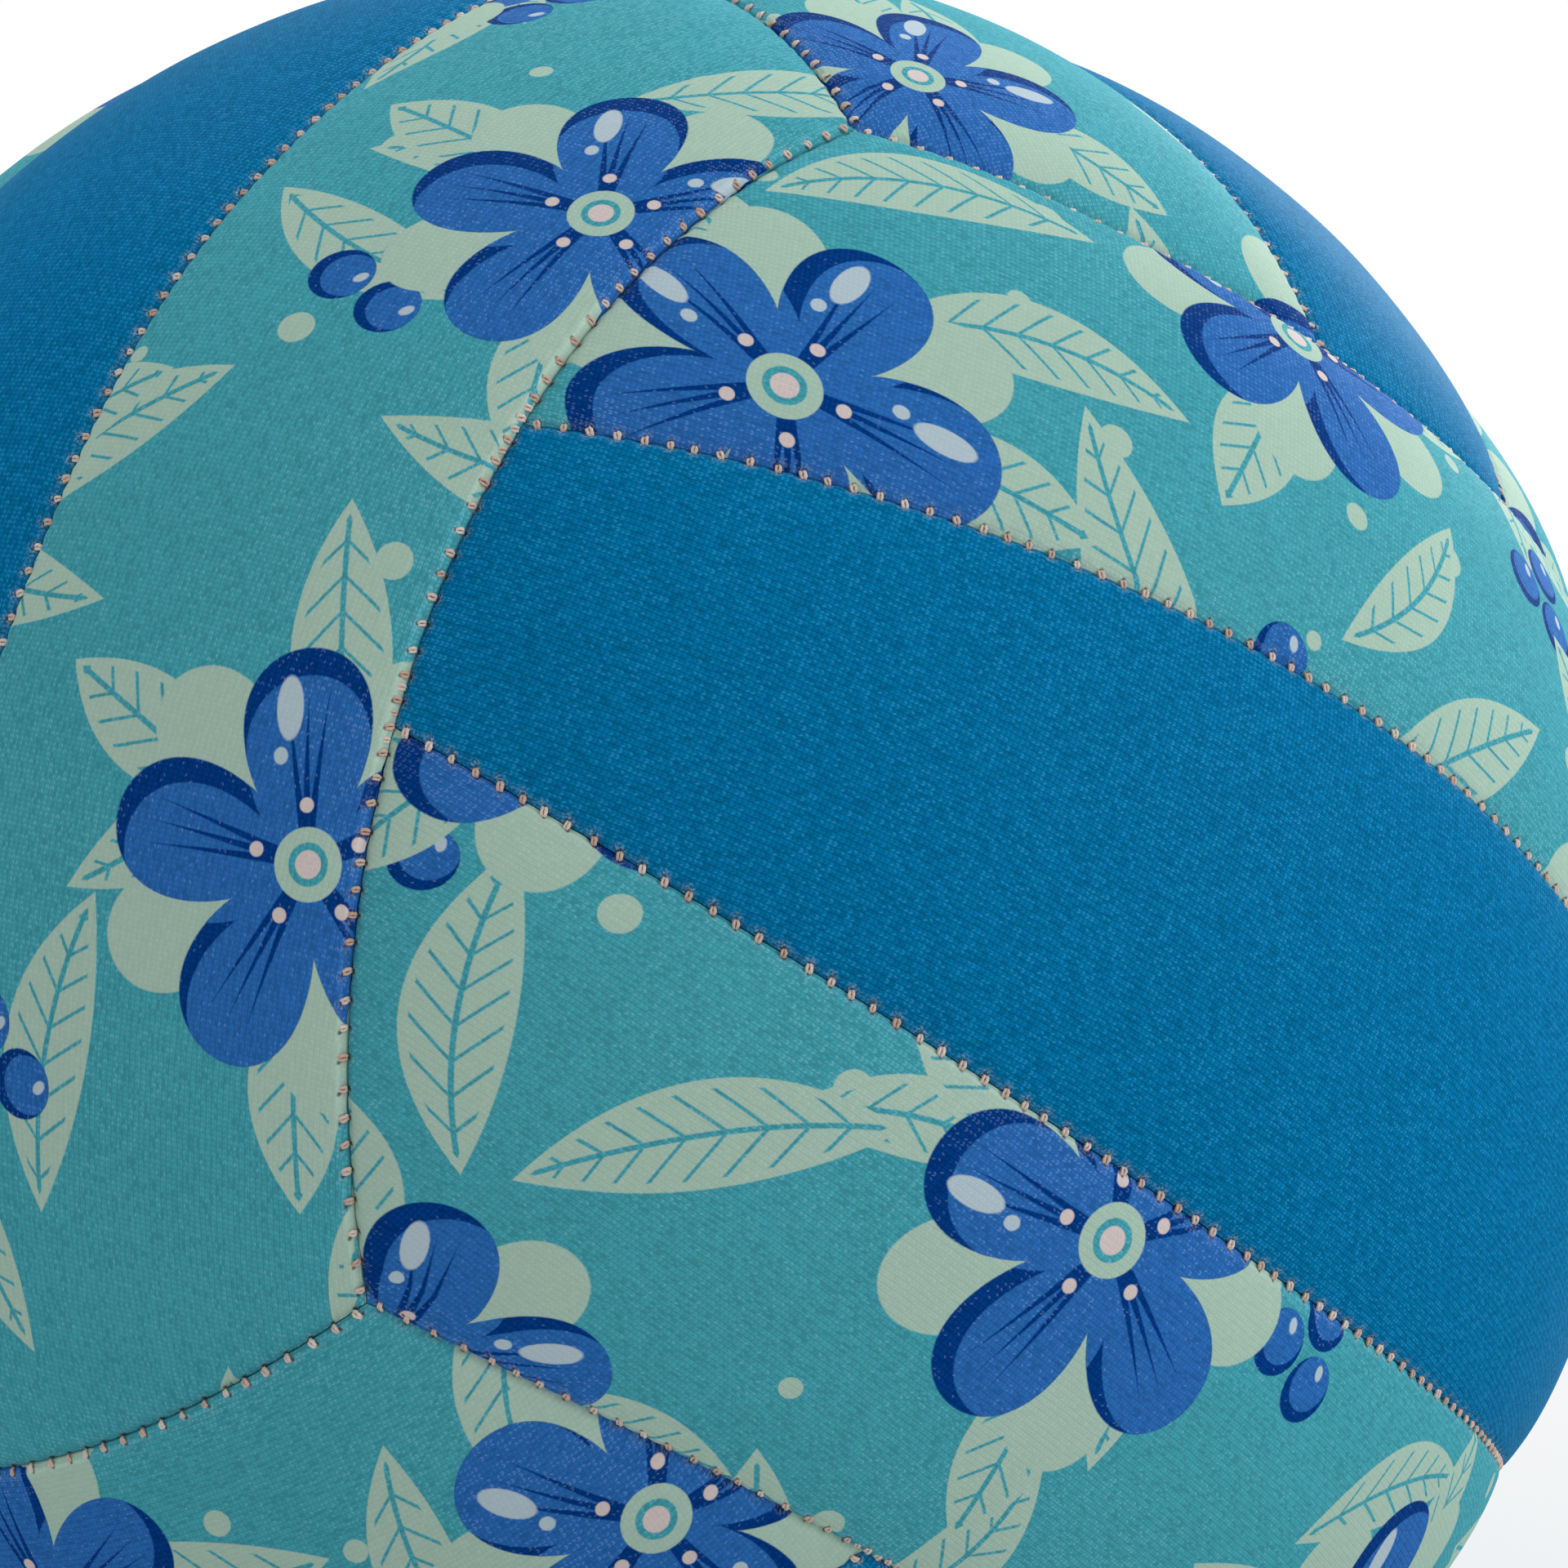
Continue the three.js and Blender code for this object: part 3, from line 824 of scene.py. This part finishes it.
thread = {
    "tints": (colour(206, 172, 154), colour(234, 218, 208)),
    "fibreSize": 0.10 * mm,
    "shade": (0.5, 0.9),  # least tone, and what the fibres add to it
    "fuzz": 0.04 * mm,
    "bump": 0.9,
    "finish": {"Roughness": 0.85, "Sheen Weight": 0.2, "Specular IOR Level": 0.1},
}


def seamThread():
    material, graph = newMaterial("seamThread")
    fibres = graph.noise(graph.node("ShaderNodeTexCoord")["Object"], thread["fibreSize"])
    tone = graph.node("ShaderNodeAttribute", {"attribute_name": "tone"})["Fac"]
    least, added = thread["shade"]
    graph.finish("ShaderNodeBsdfPrincipled", {
        **thread["finish"],
        "Base Color": graph.scaled(graph.mixed(tone, *thread["tints"]), least + fibres * added),
        "Normal": graph.bump(fibres, thread["fuzz"], thread["bump"]),
    })
    return material


moulded = {
    "grainSize": 0.5 * mm,
    "grainHeight": 0.02 * mm,
    "bump": 0.6,
    "dustSize": 6 * mm,
    "dust": 0.5,
    "dustTint": (1.8, 0.02),  # how much paler it is: times, and plus
    "dustRoughness": 0.2,  # from the smoothest to the roughest place
}


def rubber(name, tint, roughness):
    material, graph = newMaterial(name)
    spot = graph.node("ShaderNodeTexCoord")["Object"]
    grain = graph.noise(spot, moulded["grainSize"], 3.0)
    dust = graph.noise(spot, moulded["dustSize"], 3.0)
    times, plus = moulded["dustTint"]
    pale = (*[min(1, share * times + plus) for share in tint[:3]], 1)
    spread = moulded["dustRoughness"]
    graph.finish("ShaderNodeBsdfPrincipled", {
        "Base Color": graph.mixed(dust * moulded["dust"], tint, pale),
        "Roughness": dust * spread + (roughness - spread / 2),
        "Normal": graph.bump(grain, moulded["grainHeight"], moulded["bump"]),
    })
    return material


materials = {
    "plain": plainKnit(),
    "printed": printedKnit(),
    "thread": seamThread(),
    "valve": rubber("valveRubber", colour(38, 42, 46), 0.5),
    "bladder": rubber("bladderRubber", colour(52, 52, 54), 0.55),
    "patch": rubber("patchCloth", colour(214, 211, 202), 0.85),
}
print("materials ready")


# Valve, in the middle of the back face. Its length and flange come from the frame.
valve = {
    "headRadius": 5.0 * mm,
    "holeRadius": 5.3 * mm,  # of the hole in the cover
    "boreRadius": 3.0 * mm,
    "lipRadius": 2.1 * mm,
    "lipThickness": 1.5 * mm,
    "stemRadius": 4.6 * mm,
    "tipRadius": 3.9 * mm,
    "flangeThickness": 1.6 * mm,
    "coreRadius": 2.7 * mm,
    "needleRadius": 0.9 * mm,
    "needleDepth": 15 * mm,
    "funnelRadius": 1.7 * mm,
    "funnelDepth": 0.9 * mm,
    "bladderWall": 1.2 * mm,
    "patchThickness": 0.6 * mm,
    "seatGap": 0.3 * mm,
    "rounding": 0.25 * mm,
    "roundingSteps": 3,
    "roundedFrom": math.radians(35),  # edges sharper than this are rounded
    "cutReach": 5 * mm,  # of the cut through the cover, in and out from the patch's seat
    "sides": 72,
    "bladderSteps": 60,
    "seatSteps": 6,
}

# Panels: a fine outer face, a plain inner face and the cut edge between them. The padded form is
# given to the outer face by a node tree, from distances that are kept on the mesh.
panel = {
    "thickness": 3.5 * mm,
    "seamGap": 0.1 * mm,
    "insets": np.array([0.05, 0.13, 0.25, 0.42, 0.63, 0.90, 1.25, 1.7, 2.3, 3.0, 4.0]) * mm,  # near a seam
    "linesPerStitch": 4,
    "innerCells": (24, 6),
    "edgeShare": 0.82,  # of the edge's radius, where it meets the next panel
    "besideShare": 0.72,  # of the pillow's depth, on the sides that run beside a face seam
    "pillowReach": 5.0 * mm,
    "pullReach": 0.8 * mm,
    "knitTurn": math.radians(5),  # most that a panel's knit is turned
    "seed": 4,
    "fill": 0.95,
}

# Inputs of the node trees, by the same names: slight unevenness of the whole ball, and the panels' form
uneven = {
    "unevenness": 0.35 * mm,  # in and out of true
    "waver": 0.25 * mm,  # off to the sides
    "uneven size": 32 * mm,
    "shape seed": 4.0,
}
padded = {
    "edge radius": 1.1 * mm,
    "pillow depth": 1.3 * mm,
    "stitch pull": 0.14 * mm,
    **uneven,
}


def gridShares(cells, length):
    # grid lines over a length as shares of it: close near the seams, even between
    near = panel["insets"] / length[..., None]
    first = near[..., -1:]
    even = first + np.arange(1, cells) / cells * (1 - 2 * first)
    return np.concatenate([near, even, 1 - near[..., ::-1]], -1)


def gridFaces(rows, columns):
    i, j = np.meshgrid(np.arange(columns - 1), np.arange(rows - 1))
    a = (j * columns + i).ravel()
    return np.stack([a, a + 1, a + columns + 1, a + columns], -1)


def gridRim(u, v):
    # the rim of a grid, counter-clockwise, with how far round each point is
    at = np.arange(u.size).reshape(u.shape)
    rim = np.concatenate([at[0, :-1], at[:-1, -1], at[-1, :0:-1], at[:0:-1, 0]])
    legs = [u[0, :-1], 1 + v[:-1, -1], 3 - u[-1, :0:-1], 4 - v[:0:-1, 0]]
    return rim, np.concatenate(legs)


def bridge(outerRim, outerRound, innerRim, innerRound):
    # the cut edge: triangles between two rims, each next one at the rim that is behind
    faces = []
    outerNext = np.append(outerRound[1:], 4 + outerRound[0])
    innerNext = np.append(innerRound[1:], 4 + innerRound[0])
    i = j = 0
    while i < len(outerRim) or j < len(innerRim):
        outer, inner = outerRim[i % len(outerRim)], innerRim[j % len(innerRim)]
        if j == len(innerRim) or (i < len(outerRim) and outerNext[i] <= innerNext[j]):
            i += 1
            faces.append((inner, outerRim[i % len(outerRim)], outer))
        else:
            j += 1
            faces.append((inner, innerRim[j % len(innerRim)], outer))
    return faces


def stripForm(strip, holed=False):
    # points, faces, maps and distances of one strip, looking down its face's normal
    spare = len(panel["insets"]) - 1
    longCells = stripStitches * panel["linesPerStitch"] - 2 * spare
    wide = float(stripWidth(strip, np.array(0.5)))
    wideCells = round(wide / stitch["pitch"]) * panel["linesPerStitch"] - 2 * spare
    usualU = gridShares(longCells, stripLength(strip, np.array([0.5])))[0]
    usualV = gridShares(wideCells, stripWidth(strip, np.array([0.5])))[0]
    lengths = stripLength(strip, usualV)
    widths = stripWidth(strip, usualU)
    u = gridShares(longCells, lengths)
    v = gridShares(wideCells, widths).T
    length, width = lengths[:, None], widths[None, :]
    distances = np.stack([u * length, (1 - u) * length, v * width, (1 - v) * width])
    points = stripPoint(strip, u, v) * ball["radius"]

    besideFace = [strip == 0, strip == 2]
    shares = np.array([1, 1] + [panel["besideShare"] if beside else 1 for beside in besideFace])
    drawn = 1 - np.prod(1 - shares[:, None, None] * np.exp(-distances / panel["pillowReach"]), 0)
    radius = padded["edge radius"]
    over = np.maximum(radius - np.array([distances[:2].min(0), distances[2:].min(0)]), 0)
    deepest = radius * panel["edgeShare"]
    rounded = np.minimum(np.hypot(*over), deepest)
    if holed:
        toHole = np.hypot(points[..., 0], points[..., 1]) - valve["holeRadius"]
        rounded = np.maximum(rounded, np.clip(radius - toHole, 0, deepest))
    sideStitches = [faceStitches if beside else stripStitches for beside in besideFace]
    shifts = [stitch["edgeShift"]] * 2 + [-stitch["edgeShift"] if beside else 0 for beside in besideFace]
    endShare = (1 + endStations[strip] + (endStations[strip + 1] - endStations[strip]) * v) / 2
    endPhase = stitchPhase(endShare, faceStitches)
    phases = np.stack([endPhase] * 2 + [stitchPhase(u, count) for count in sideStitches])
    pull = (np.exp(-distances / panel["pullReach"]) * -np.cos(2 * math.pi * phases)).sum(0)

    inside = []
    for cells, span in zip(panel["innerCells"], (lengths[0], widths[0])):
        edge = panel["seamGap"] / 2 / span
        inside.append(edge + np.linspace(0, 1, cells + 1) * (1 - 2 * edge))
    inU, inV = np.meshgrid(*inside)
    cellsAlong, cellsAcross = panel["innerCells"]
    cellTurn = math.hypot(2 * tipAlong / cellsAlong, wide / ball["radius"] / cellsAcross)
    innerRadius = (ball["radius"] - panel["thickness"]) / math.cos(cellTurn / 2)
    innerPoints = stripPoint(strip, inU, inV) * innerRadius

    innerRim, innerRound = gridRim(inU, inV)
    outerFaces = gridFaces(*u.shape)
    innerFaces = gridFaces(*inU.shape)[:, ::-1] + u.size
    sewing = {"drawn": drawn, "rounded": rounded, "pull": pull, "outer": np.ones_like(u)}
    return {
        "points": np.concatenate([points.reshape(-1, 3), innerPoints.reshape(-1, 3)]),
        "faces": [*outerFaces.tolist(), *innerFaces.tolist(),
                  *bridge(*gridRim(u, v), innerRim + u.size, innerRound)],
        "map": np.stack([
            np.append((u - 0.5) * length, (inU - 0.5) * lengths.mean()),
            np.append((v - 0.5) * width, (inV - 0.5) * widths.mean()),
        ], -1),
        "hem": hemPlaces(outerFaces, distances.reshape(4, -1), phases.reshape(4, -1), np.array(shifts)),
        "sewing": {label: np.append(kept, np.zeros(inU.size)) for label, kept in sewing.items()},
    }


def hemPlaces(faces, distances, phases, shifts):
    # for each face corner, the stitches counted along the face's nearest seam and the way to them
    away = distances[:, faces]
    nearest = away.mean(-1).argmin(0)
    each = np.arange(len(faces))
    direction = np.array([-1, 1, 1, -1])
    count = phases[:, faces][nearest, each] * direction[nearest][:, None]
    return np.stack([count, away[nearest, each] + shifts[nearest][:, None]], -1).reshape(-1, 2)


def noiseAt(graph, position, size, seed):
    values = {"Vector": position, "W": seed, "Scale": 1 / size, "Detail": 1.0}
    return graph.node("ShaderNodeTexNoise", {"noise_dimensions": "4D"}, values)


def sideways(graph, position, reach, size, seed):
    # a smooth shift of each point, up to the reach
    middled = graph.summed(noiseAt(graph, position, size, seed)["Color"], (-0.5, -0.5, -0.5))
    return graph.scaled(middled, reach * 2)


def handSewn(graph, inputs):
    # the ball's slight unevenness: each point's place and direction, a shift along that and one aside
    position = graph.node("GeometryNodeInputPosition")
    size, seed = inputs["uneven size"], inputs["shape seed"]
    outward = graph.node("ShaderNodeVectorMath", {"operation": "NORMALIZE"}, {0: position})
    radial = (noiseAt(graph, position, size, seed + 5) - 0.5) * inputs["unevenness"] * 2
    return position, outward, radial, sideways(graph, position, inputs["waver"], size, seed)


def shapedTree(graph, geometry, offset, material):
    # ends a tree: moves the points and gives the finish
    shaped = graph.node("GeometryNodeSetPosition", None, {"Geometry": geometry, "Offset": offset})
    shaped = graph.node("GeometryNodeSetMaterial", None, {"Geometry": shaped, "Material": material})
    graph.node("NodeGroupOutput", None, {"Geometry": shaped})
    return graph.tree


def paddedTree():
    graph, inputs = newTree("paddedPanel", padded, {"cloth": "Material"})

    def kept(name):
        return graph.node("GeometryNodeInputNamedAttribute", {"data_type": "FLOAT"}, {"Name": name})

    _, outward, radial, aside = handSewn(graph, inputs)
    radius = inputs["edge radius"]
    fall = radius - graph.maths("SQRT", radius * radius - kept("rounded") * kept("rounded"))
    drop = kept("drawn") * inputs["pillow depth"] + fall + kept("pull") * inputs["stitch pull"]
    moved = graph.summed(graph.scaled(outward, (radial - drop) * kept("outer")), aside)
    return shapedTree(graph, inputs["Geometry"], moved, inputs["cloth"])


def panelMesh(name, form, turn, knitTurn, printTurn, printShift):
    mesh = bpy.data.meshes.new(name)
    mesh.from_pydata((form["points"] @ turn.T).tolist(), [], form["faces"])
    for label, kept in form["sewing"].items():
        mesh.attributes.new(label, "FLOAT", "POINT").data.foreach_set("value", kept.astype(np.float32))
    corners = np.zeros(len(mesh.loops), int)
    mesh.loops.foreach_get("vertex_index", corners)
    for label, angle, shift in (("weave", knitTurn, (0, 0)), ("print", printTurn, printShift)):
        c, s = math.cos(angle), math.sin(angle)
        places = form["map"][corners] @ np.array([[c, s], [-s, c]]) + np.array(shift)
        mesh.uv_layers.new(name=label).data.foreach_set("uv", places.ravel())
    hem = np.tile([0.0, 1.0], (len(corners), 1))
    hem[:len(form["hem"])] = form["hem"]
    mesh.uv_layers.new(name="hem").data.foreach_set("uv", hem.ravel())
    return smoothed(mesh)


def makePanels():
    tree = paddedTree()
    forms = [stripForm(strip) for strip in range(3)]
    valveForm = stripForm(1, holed=True)
    lots = np.random.default_rng(panel["seed"])
    pieces = {}
    for face, turn in faceTurns.items():
        for strip, kind in enumerate(("outer_panel_a", "middle_panel", "outer_panel_b")):
            node = f"{face}_{kind}"
            name = node + "_cover"
            knitTurn = lots.uniform(-panel["knitTurn"], panel["knitTurn"])
            printTurn, shift = lots.uniform(0, 2 * math.pi), lots.uniform(-1, 1, 2)
            form = valveForm if node == "back_middle_panel" else forms[strip]
            piece = newPiece(name, panelMesh(name, form, turn, knitTurn, printTurn, shift))
            grown(piece, tree, {**padded, "cloth": materials["plain" if strip == 1 else "printed"]})
            pieces[node] = piece
    return pieces


panels = makePanels()
print("panels ready:", len(panels))


def stitchMesh():
    share = np.linspace(-1, 1, stitch["steps"] + 1)
    across = share * stitch["halfWidth"]
    dip = -stitch["tuck"] * np.abs(share) ** 4
    points, faces = [], []
    narrow, wide = stitch["strandApart"]
    lift = stitch["strandLift"] * stitch["strandRadius"]
    for strand in (-1, 1):
        aside = strand / 2 * (wide + (narrow - wide) * share ** 2)
        way = np.stack([aside, across, dip + strand * lift], -1)
        ring, ringFaces = tube(way, stitch["strandRadius"], stitch["sides"])
        faces += [tuple(i + len(points) for i in f) for f in ringFaces]
        points += ring.tolist()
    mesh = bpy.data.meshes.new("stitch")
    mesh.from_pydata(points, [], faces)
    return smoothed(mesh)


def tube(points, radius, sides):
    # a closed tube along points, with a ring square to the way at each
    points = np.array(points, float)
    way = unit(np.gradient(points, axis=0))
    side = unit(np.cross(way, (0.0, 0.0, 1.0)))
    top = np.cross(side, way)
    turns = np.arange(sides) / sides * 2 * math.pi
    rings = points[:, None] + radius * (
        side[:, None] * np.cos(turns)[:, None] + top[:, None] * np.sin(turns)[:, None])
    faces = []
    for k in range(len(points) - 1):
        for i in range(sides):
            a, b = k * sides + i, k * sides + (i + 1) % sides
            faces.append((a, a + sides, b + sides, b))
    faces.append(tuple(range(sides)))
    faces.append(tuple(range(len(points) * sides - 1, (len(points) - 1) * sides - 1, -1)))
    return rings.reshape(-1, 3), faces


def stitchTree():
    # sets a stitch on each point of a seam's line, each a little different
    graph, inputs = newTree("seamStitches", ["slant", "tilt", "lumps", "lump size", *uneven], {
        "stitch": "Object", "seed": "Int", "thread": "Material"})

    def lots(low, high, step):
        values = {2: low, 3: high, "Seed": inputs["seed"] + step}
        return graph.node("FunctionNodeRandomValue", {"data_type": "FLOAT"}, values, 1)

    position, outward, radial, aside = handSewn(graph, inputs)
    facing = graph.node("FunctionNodeAxesToRotation", {"primary_axis": "Z", "secondary_axis": "X"}, {
        "Primary Axis": outward, "Secondary Axis": graph.node("GeometryNodeInputTangent")})
    slant = lots(-stitch["slantSpread"], stitch["slantSpread"], 0) + inputs["slant"]
    for axis, angle in (((1, 0, 0), inputs["tilt"]), ((0, 0, 1), slant)):
        turn = graph.node("FunctionNodeAxisAngleToRotation", None, {"Axis": axis, "Angle": angle})
        facing = graph.node("FunctionNodeRotateRotation", {"rotation_space": "LOCAL"}, {
            "Rotation": facing, "Rotate By": turn})
    placed = graph.node("GeometryNodeInstanceOnPoints", None, {
        "Points": graph.node("GeometryNodeMeshToCurve", None, {"Mesh": inputs["Geometry"]}),
        "Instance": graph.node("GeometryNodeObjectInfo", None, {"Object": inputs["stitch"]})["Geometry"],
        "Rotation": facing,
        "Scale": lots(*stitch["sizes"], 100),
    })
    placed = graph.node("GeometryNodeStoreNamedAttribute", {"data_type": "FLOAT", "domain": "INSTANCE"}, {
        "Geometry": placed, "Name": "tone", "Value": lots(0, 1, 200)})
    placed = graph.node("GeometryNodeRealizeInstances", None, {"Geometry": placed})
    lumps = sideways(graph, position, inputs["lumps"], inputs["lump size"], inputs["shape seed"])
    moved = graph.summed(graph.scaled(outward, radial), aside, lumps)
    return shapedTree(graph, placed, moved, inputs["thread"])


def seamLine(name, pointAt, count, side, turn):
    # a line through the stitches of a seam; beside a face seam they shift to the face's own side, and
    # are closer together at the junctions
    crowded = [(1 - junction) / 2, (1 + junction) / 2] if side else []
    extra = np.arange(-stitch["doubled"], stitch["doubled"] + 1)
    phases = [np.arange(count) + 0.5] + [round(place * count) + extra for place in crowded]
    phases = np.sort(np.concatenate(phases))
    shares = np.linspace(0, 1, stitch["samples"])
    share = np.interp(phases, stitchPhase(shares, count), shares)
    points = pointAt(2 * share - 1)
    toFace = unit(points * points[:, 1:2] - acrossStrip) * side * stitch["edgeShift"]
    points = points * (ball["radius"] - stitch["edgeDepth" if side else "depth"]) + toFace
    mesh = bpy.data.meshes.new(name)
    mesh.from_pydata((points @ turn.T).tolist(), [(i, i + 1) for i in range(len(points) - 1)], [])
    return mesh


def makeStitches():
    tree = stitchTree()
    model = newPiece("stitch", stitchMesh())
    seams = {
        "strip_thread_a": (seamsAcross[1], stripStitches, 0),
        "strip_thread_b": (seamsAcross[2], stripStitches, 0),
        "edge_thread_a": (seamsAcross[0], faceStitches, -1),
        "edge_thread_b": (seamsAcross[3], faceStitches, 1),
    }
    made = []
    for face, turn in faceTurns.items():
        for kind, (pointAt, count, side) in seams.items():
            node = f"{face}_{kind}"
            piece = newPiece(node + "_stitches", seamLine(node, pointAt, count, side, turn))
            grown(piece, tree, {
                "stitch": model,
                "slant": stitch["slant"],
                "tilt": -side * stitch["edgeTilt"],
                "lumps": stitch["lumps"],
                "lump size": stitch["lumpSize"],
                "seed": stitch["seed"] + len(made),
                "thread": materials["thread"],
                **uneven,
            })
            place(piece, "seam_thread", node)
            made.append(piece)
    bpy.data.objects.remove(model)
    return made


stitches = makeStitches()
print("seams stitched:", len(stitches))


def arcHeight(radius, away):
    # height of a sphere at a distance from the valve's axis
    return math.sqrt(radius ** 2 - away ** 2)


def arcProfile(radius, start, end, steps):
    # points of a sphere's profile from one distance from the axis to another, to the far pole if end is 0
    last = math.asin(end / radius) if end else math.pi
    turns = np.linspace(math.asin(start / radius), last, steps + 1)
    points = [(radius * math.sin(turn), radius * math.cos(turn)) for turn in turns]
    return points if end else [*points[:-1], (0.0, -radius)]


def turned(name, profile, material):
    # a profile of distances from the valve's axis and heights along it, turned round that axis
    form = bmesh.new()
    rings = []
    for away, height in profile:
        turns = np.arange(valve["sides"]) / valve["sides"] * 2 * math.pi if away > 0 else [0.0]
        rings.append([form.verts.new((-height, away * math.cos(t), away * math.sin(t))) for t in turns])
    following = rings[1:]
    if profile[0][0] > 0:
        following.append(rings[0])  # a ring: its profile closes on itself
    for low, high in zip(rings, following):
        for i in range(valve["sides"]):
            j = i + 1
            corners = [low[i % len(low)], low[j % len(low)], high[j % len(high)], high[i % len(high)]]
            form.faces.new(list(dict.fromkeys(corners)))
    bmesh.ops.recalc_face_normals(form, faces=form.faces)
    mesh = bpy.data.meshes.new(name)
    form.to_mesh(mesh)
    form.free()
    if material:
        mesh.materials.append(material)
    return newPiece(name, smoothed(mesh))


def softened(piece):
    soft = piece.modifiers.new("softEdges", "BEVEL")
    soft.width = valve["rounding"]
    soft.segments = valve["roundingSteps"]
    soft.limit_method = "ANGLE"
    soft.angle_limit = valve["roundedFrom"]
    return piece


def makeValve():
    low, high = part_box("valve_housing")
    face, tip, flangeRadius = -low.x, -high.x, high.y
    gap = valve["seatGap"]
    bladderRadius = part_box("bladder")[1].x
    inside = bladderRadius - valve["bladderWall"]
    flangeTop = inside - gap
    root = arcHeight(flangeTop, valve["holeRadius"])
    rim = arcHeight(flangeTop, flangeRadius)
    bore, lip, strongGlints = valve["boreRadius"], valve["lipRadius"], valve["flangeThickness"]
    housing = softened(turned("valve_housing_rubber", [
        (bore, face), (bore, tip + valve["lipThickness"]), (lip, tip + valve["lipThickness"]), (lip, tip),
        (valve["tipRadius"], tip), (valve["stemRadius"], root - strongGlints), (flangeRadius, rim - strongGlints),
        (flangeRadius, rim), (valve["headRadius"], root), (valve["headRadius"], face),
    ], materials["valve"]))
    place(housing, "valve_rubber", "valve_housing")

    core, needle = valve["coreRadius"], valve["needleRadius"]
    top, bottom = (-corner.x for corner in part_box("valve_core"))
    needleEnd = top - valve["needleDepth"]
    plug = softened(turned("valve_core_rubber", [
        (0, bottom), (core, bottom), (core, top), (valve["funnelRadius"], top),
        (needle, top - valve["funnelDepth"]), (needle, needleEnd), (0, needleEnd),
    ], materials["valve"]))
    place(plug, "valve_rubber", "valve_core")

    hole = valve["holeRadius"]
    outline = arcProfile(bladderRadius, hole, 0, valve["bladderSteps"])
    skin = turned("bladder_skin", [
        *reversed(outline), *arcProfile(inside, hole, 0, valve["bladderSteps"]),
    ], materials["bladder"])
    place(skin, "bladder_rubber", "bladder")

    low = ball["radius"] - panel["thickness"]
    high, rim = low + valve["patchThickness"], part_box("valve_patch")[1].y
    patch = turned("valve_patch_cloth", [
        *arcProfile(low, hole, rim, valve["seatSteps"]), *arcProfile(high, rim, hole, valve["seatSteps"]),
    ], materials["patch"])
    place(patch, "patch_cloth", "valve_patch")
    return high + gap, rim + gap


def cutForValve(piece, seatTop, seatRadius):
    # the hole for the valve's head, and the seat of the patch behind it
    hole = valve["holeRadius"]
    under, over = seatTop - valve["cutReach"], seatTop + valve["cutReach"]
    seat = arcProfile(seatTop, seatRadius, hole, valve["seatSteps"])
    cutter = turned("valveCutter", [(0, under), (seatRadius, under), *seat, (hole, over), (0, over)], None)
    cut = piece.modifiers.new("valveHole", "BOOLEAN")
    cut.operation = "DIFFERENCE"
    cut.solver = "EXACT"
    cut.object = cutter
    applied(piece, cut)
    bpy.data.objects.remove(cutter)


cutForValve(panels["back_middle_panel"], *makeValve())
print("valve ready")


for node, piece in panels.items():
    place(piece, "plain_knit" if "middle" in node else "printed_knit", node)
print("pieces placed")
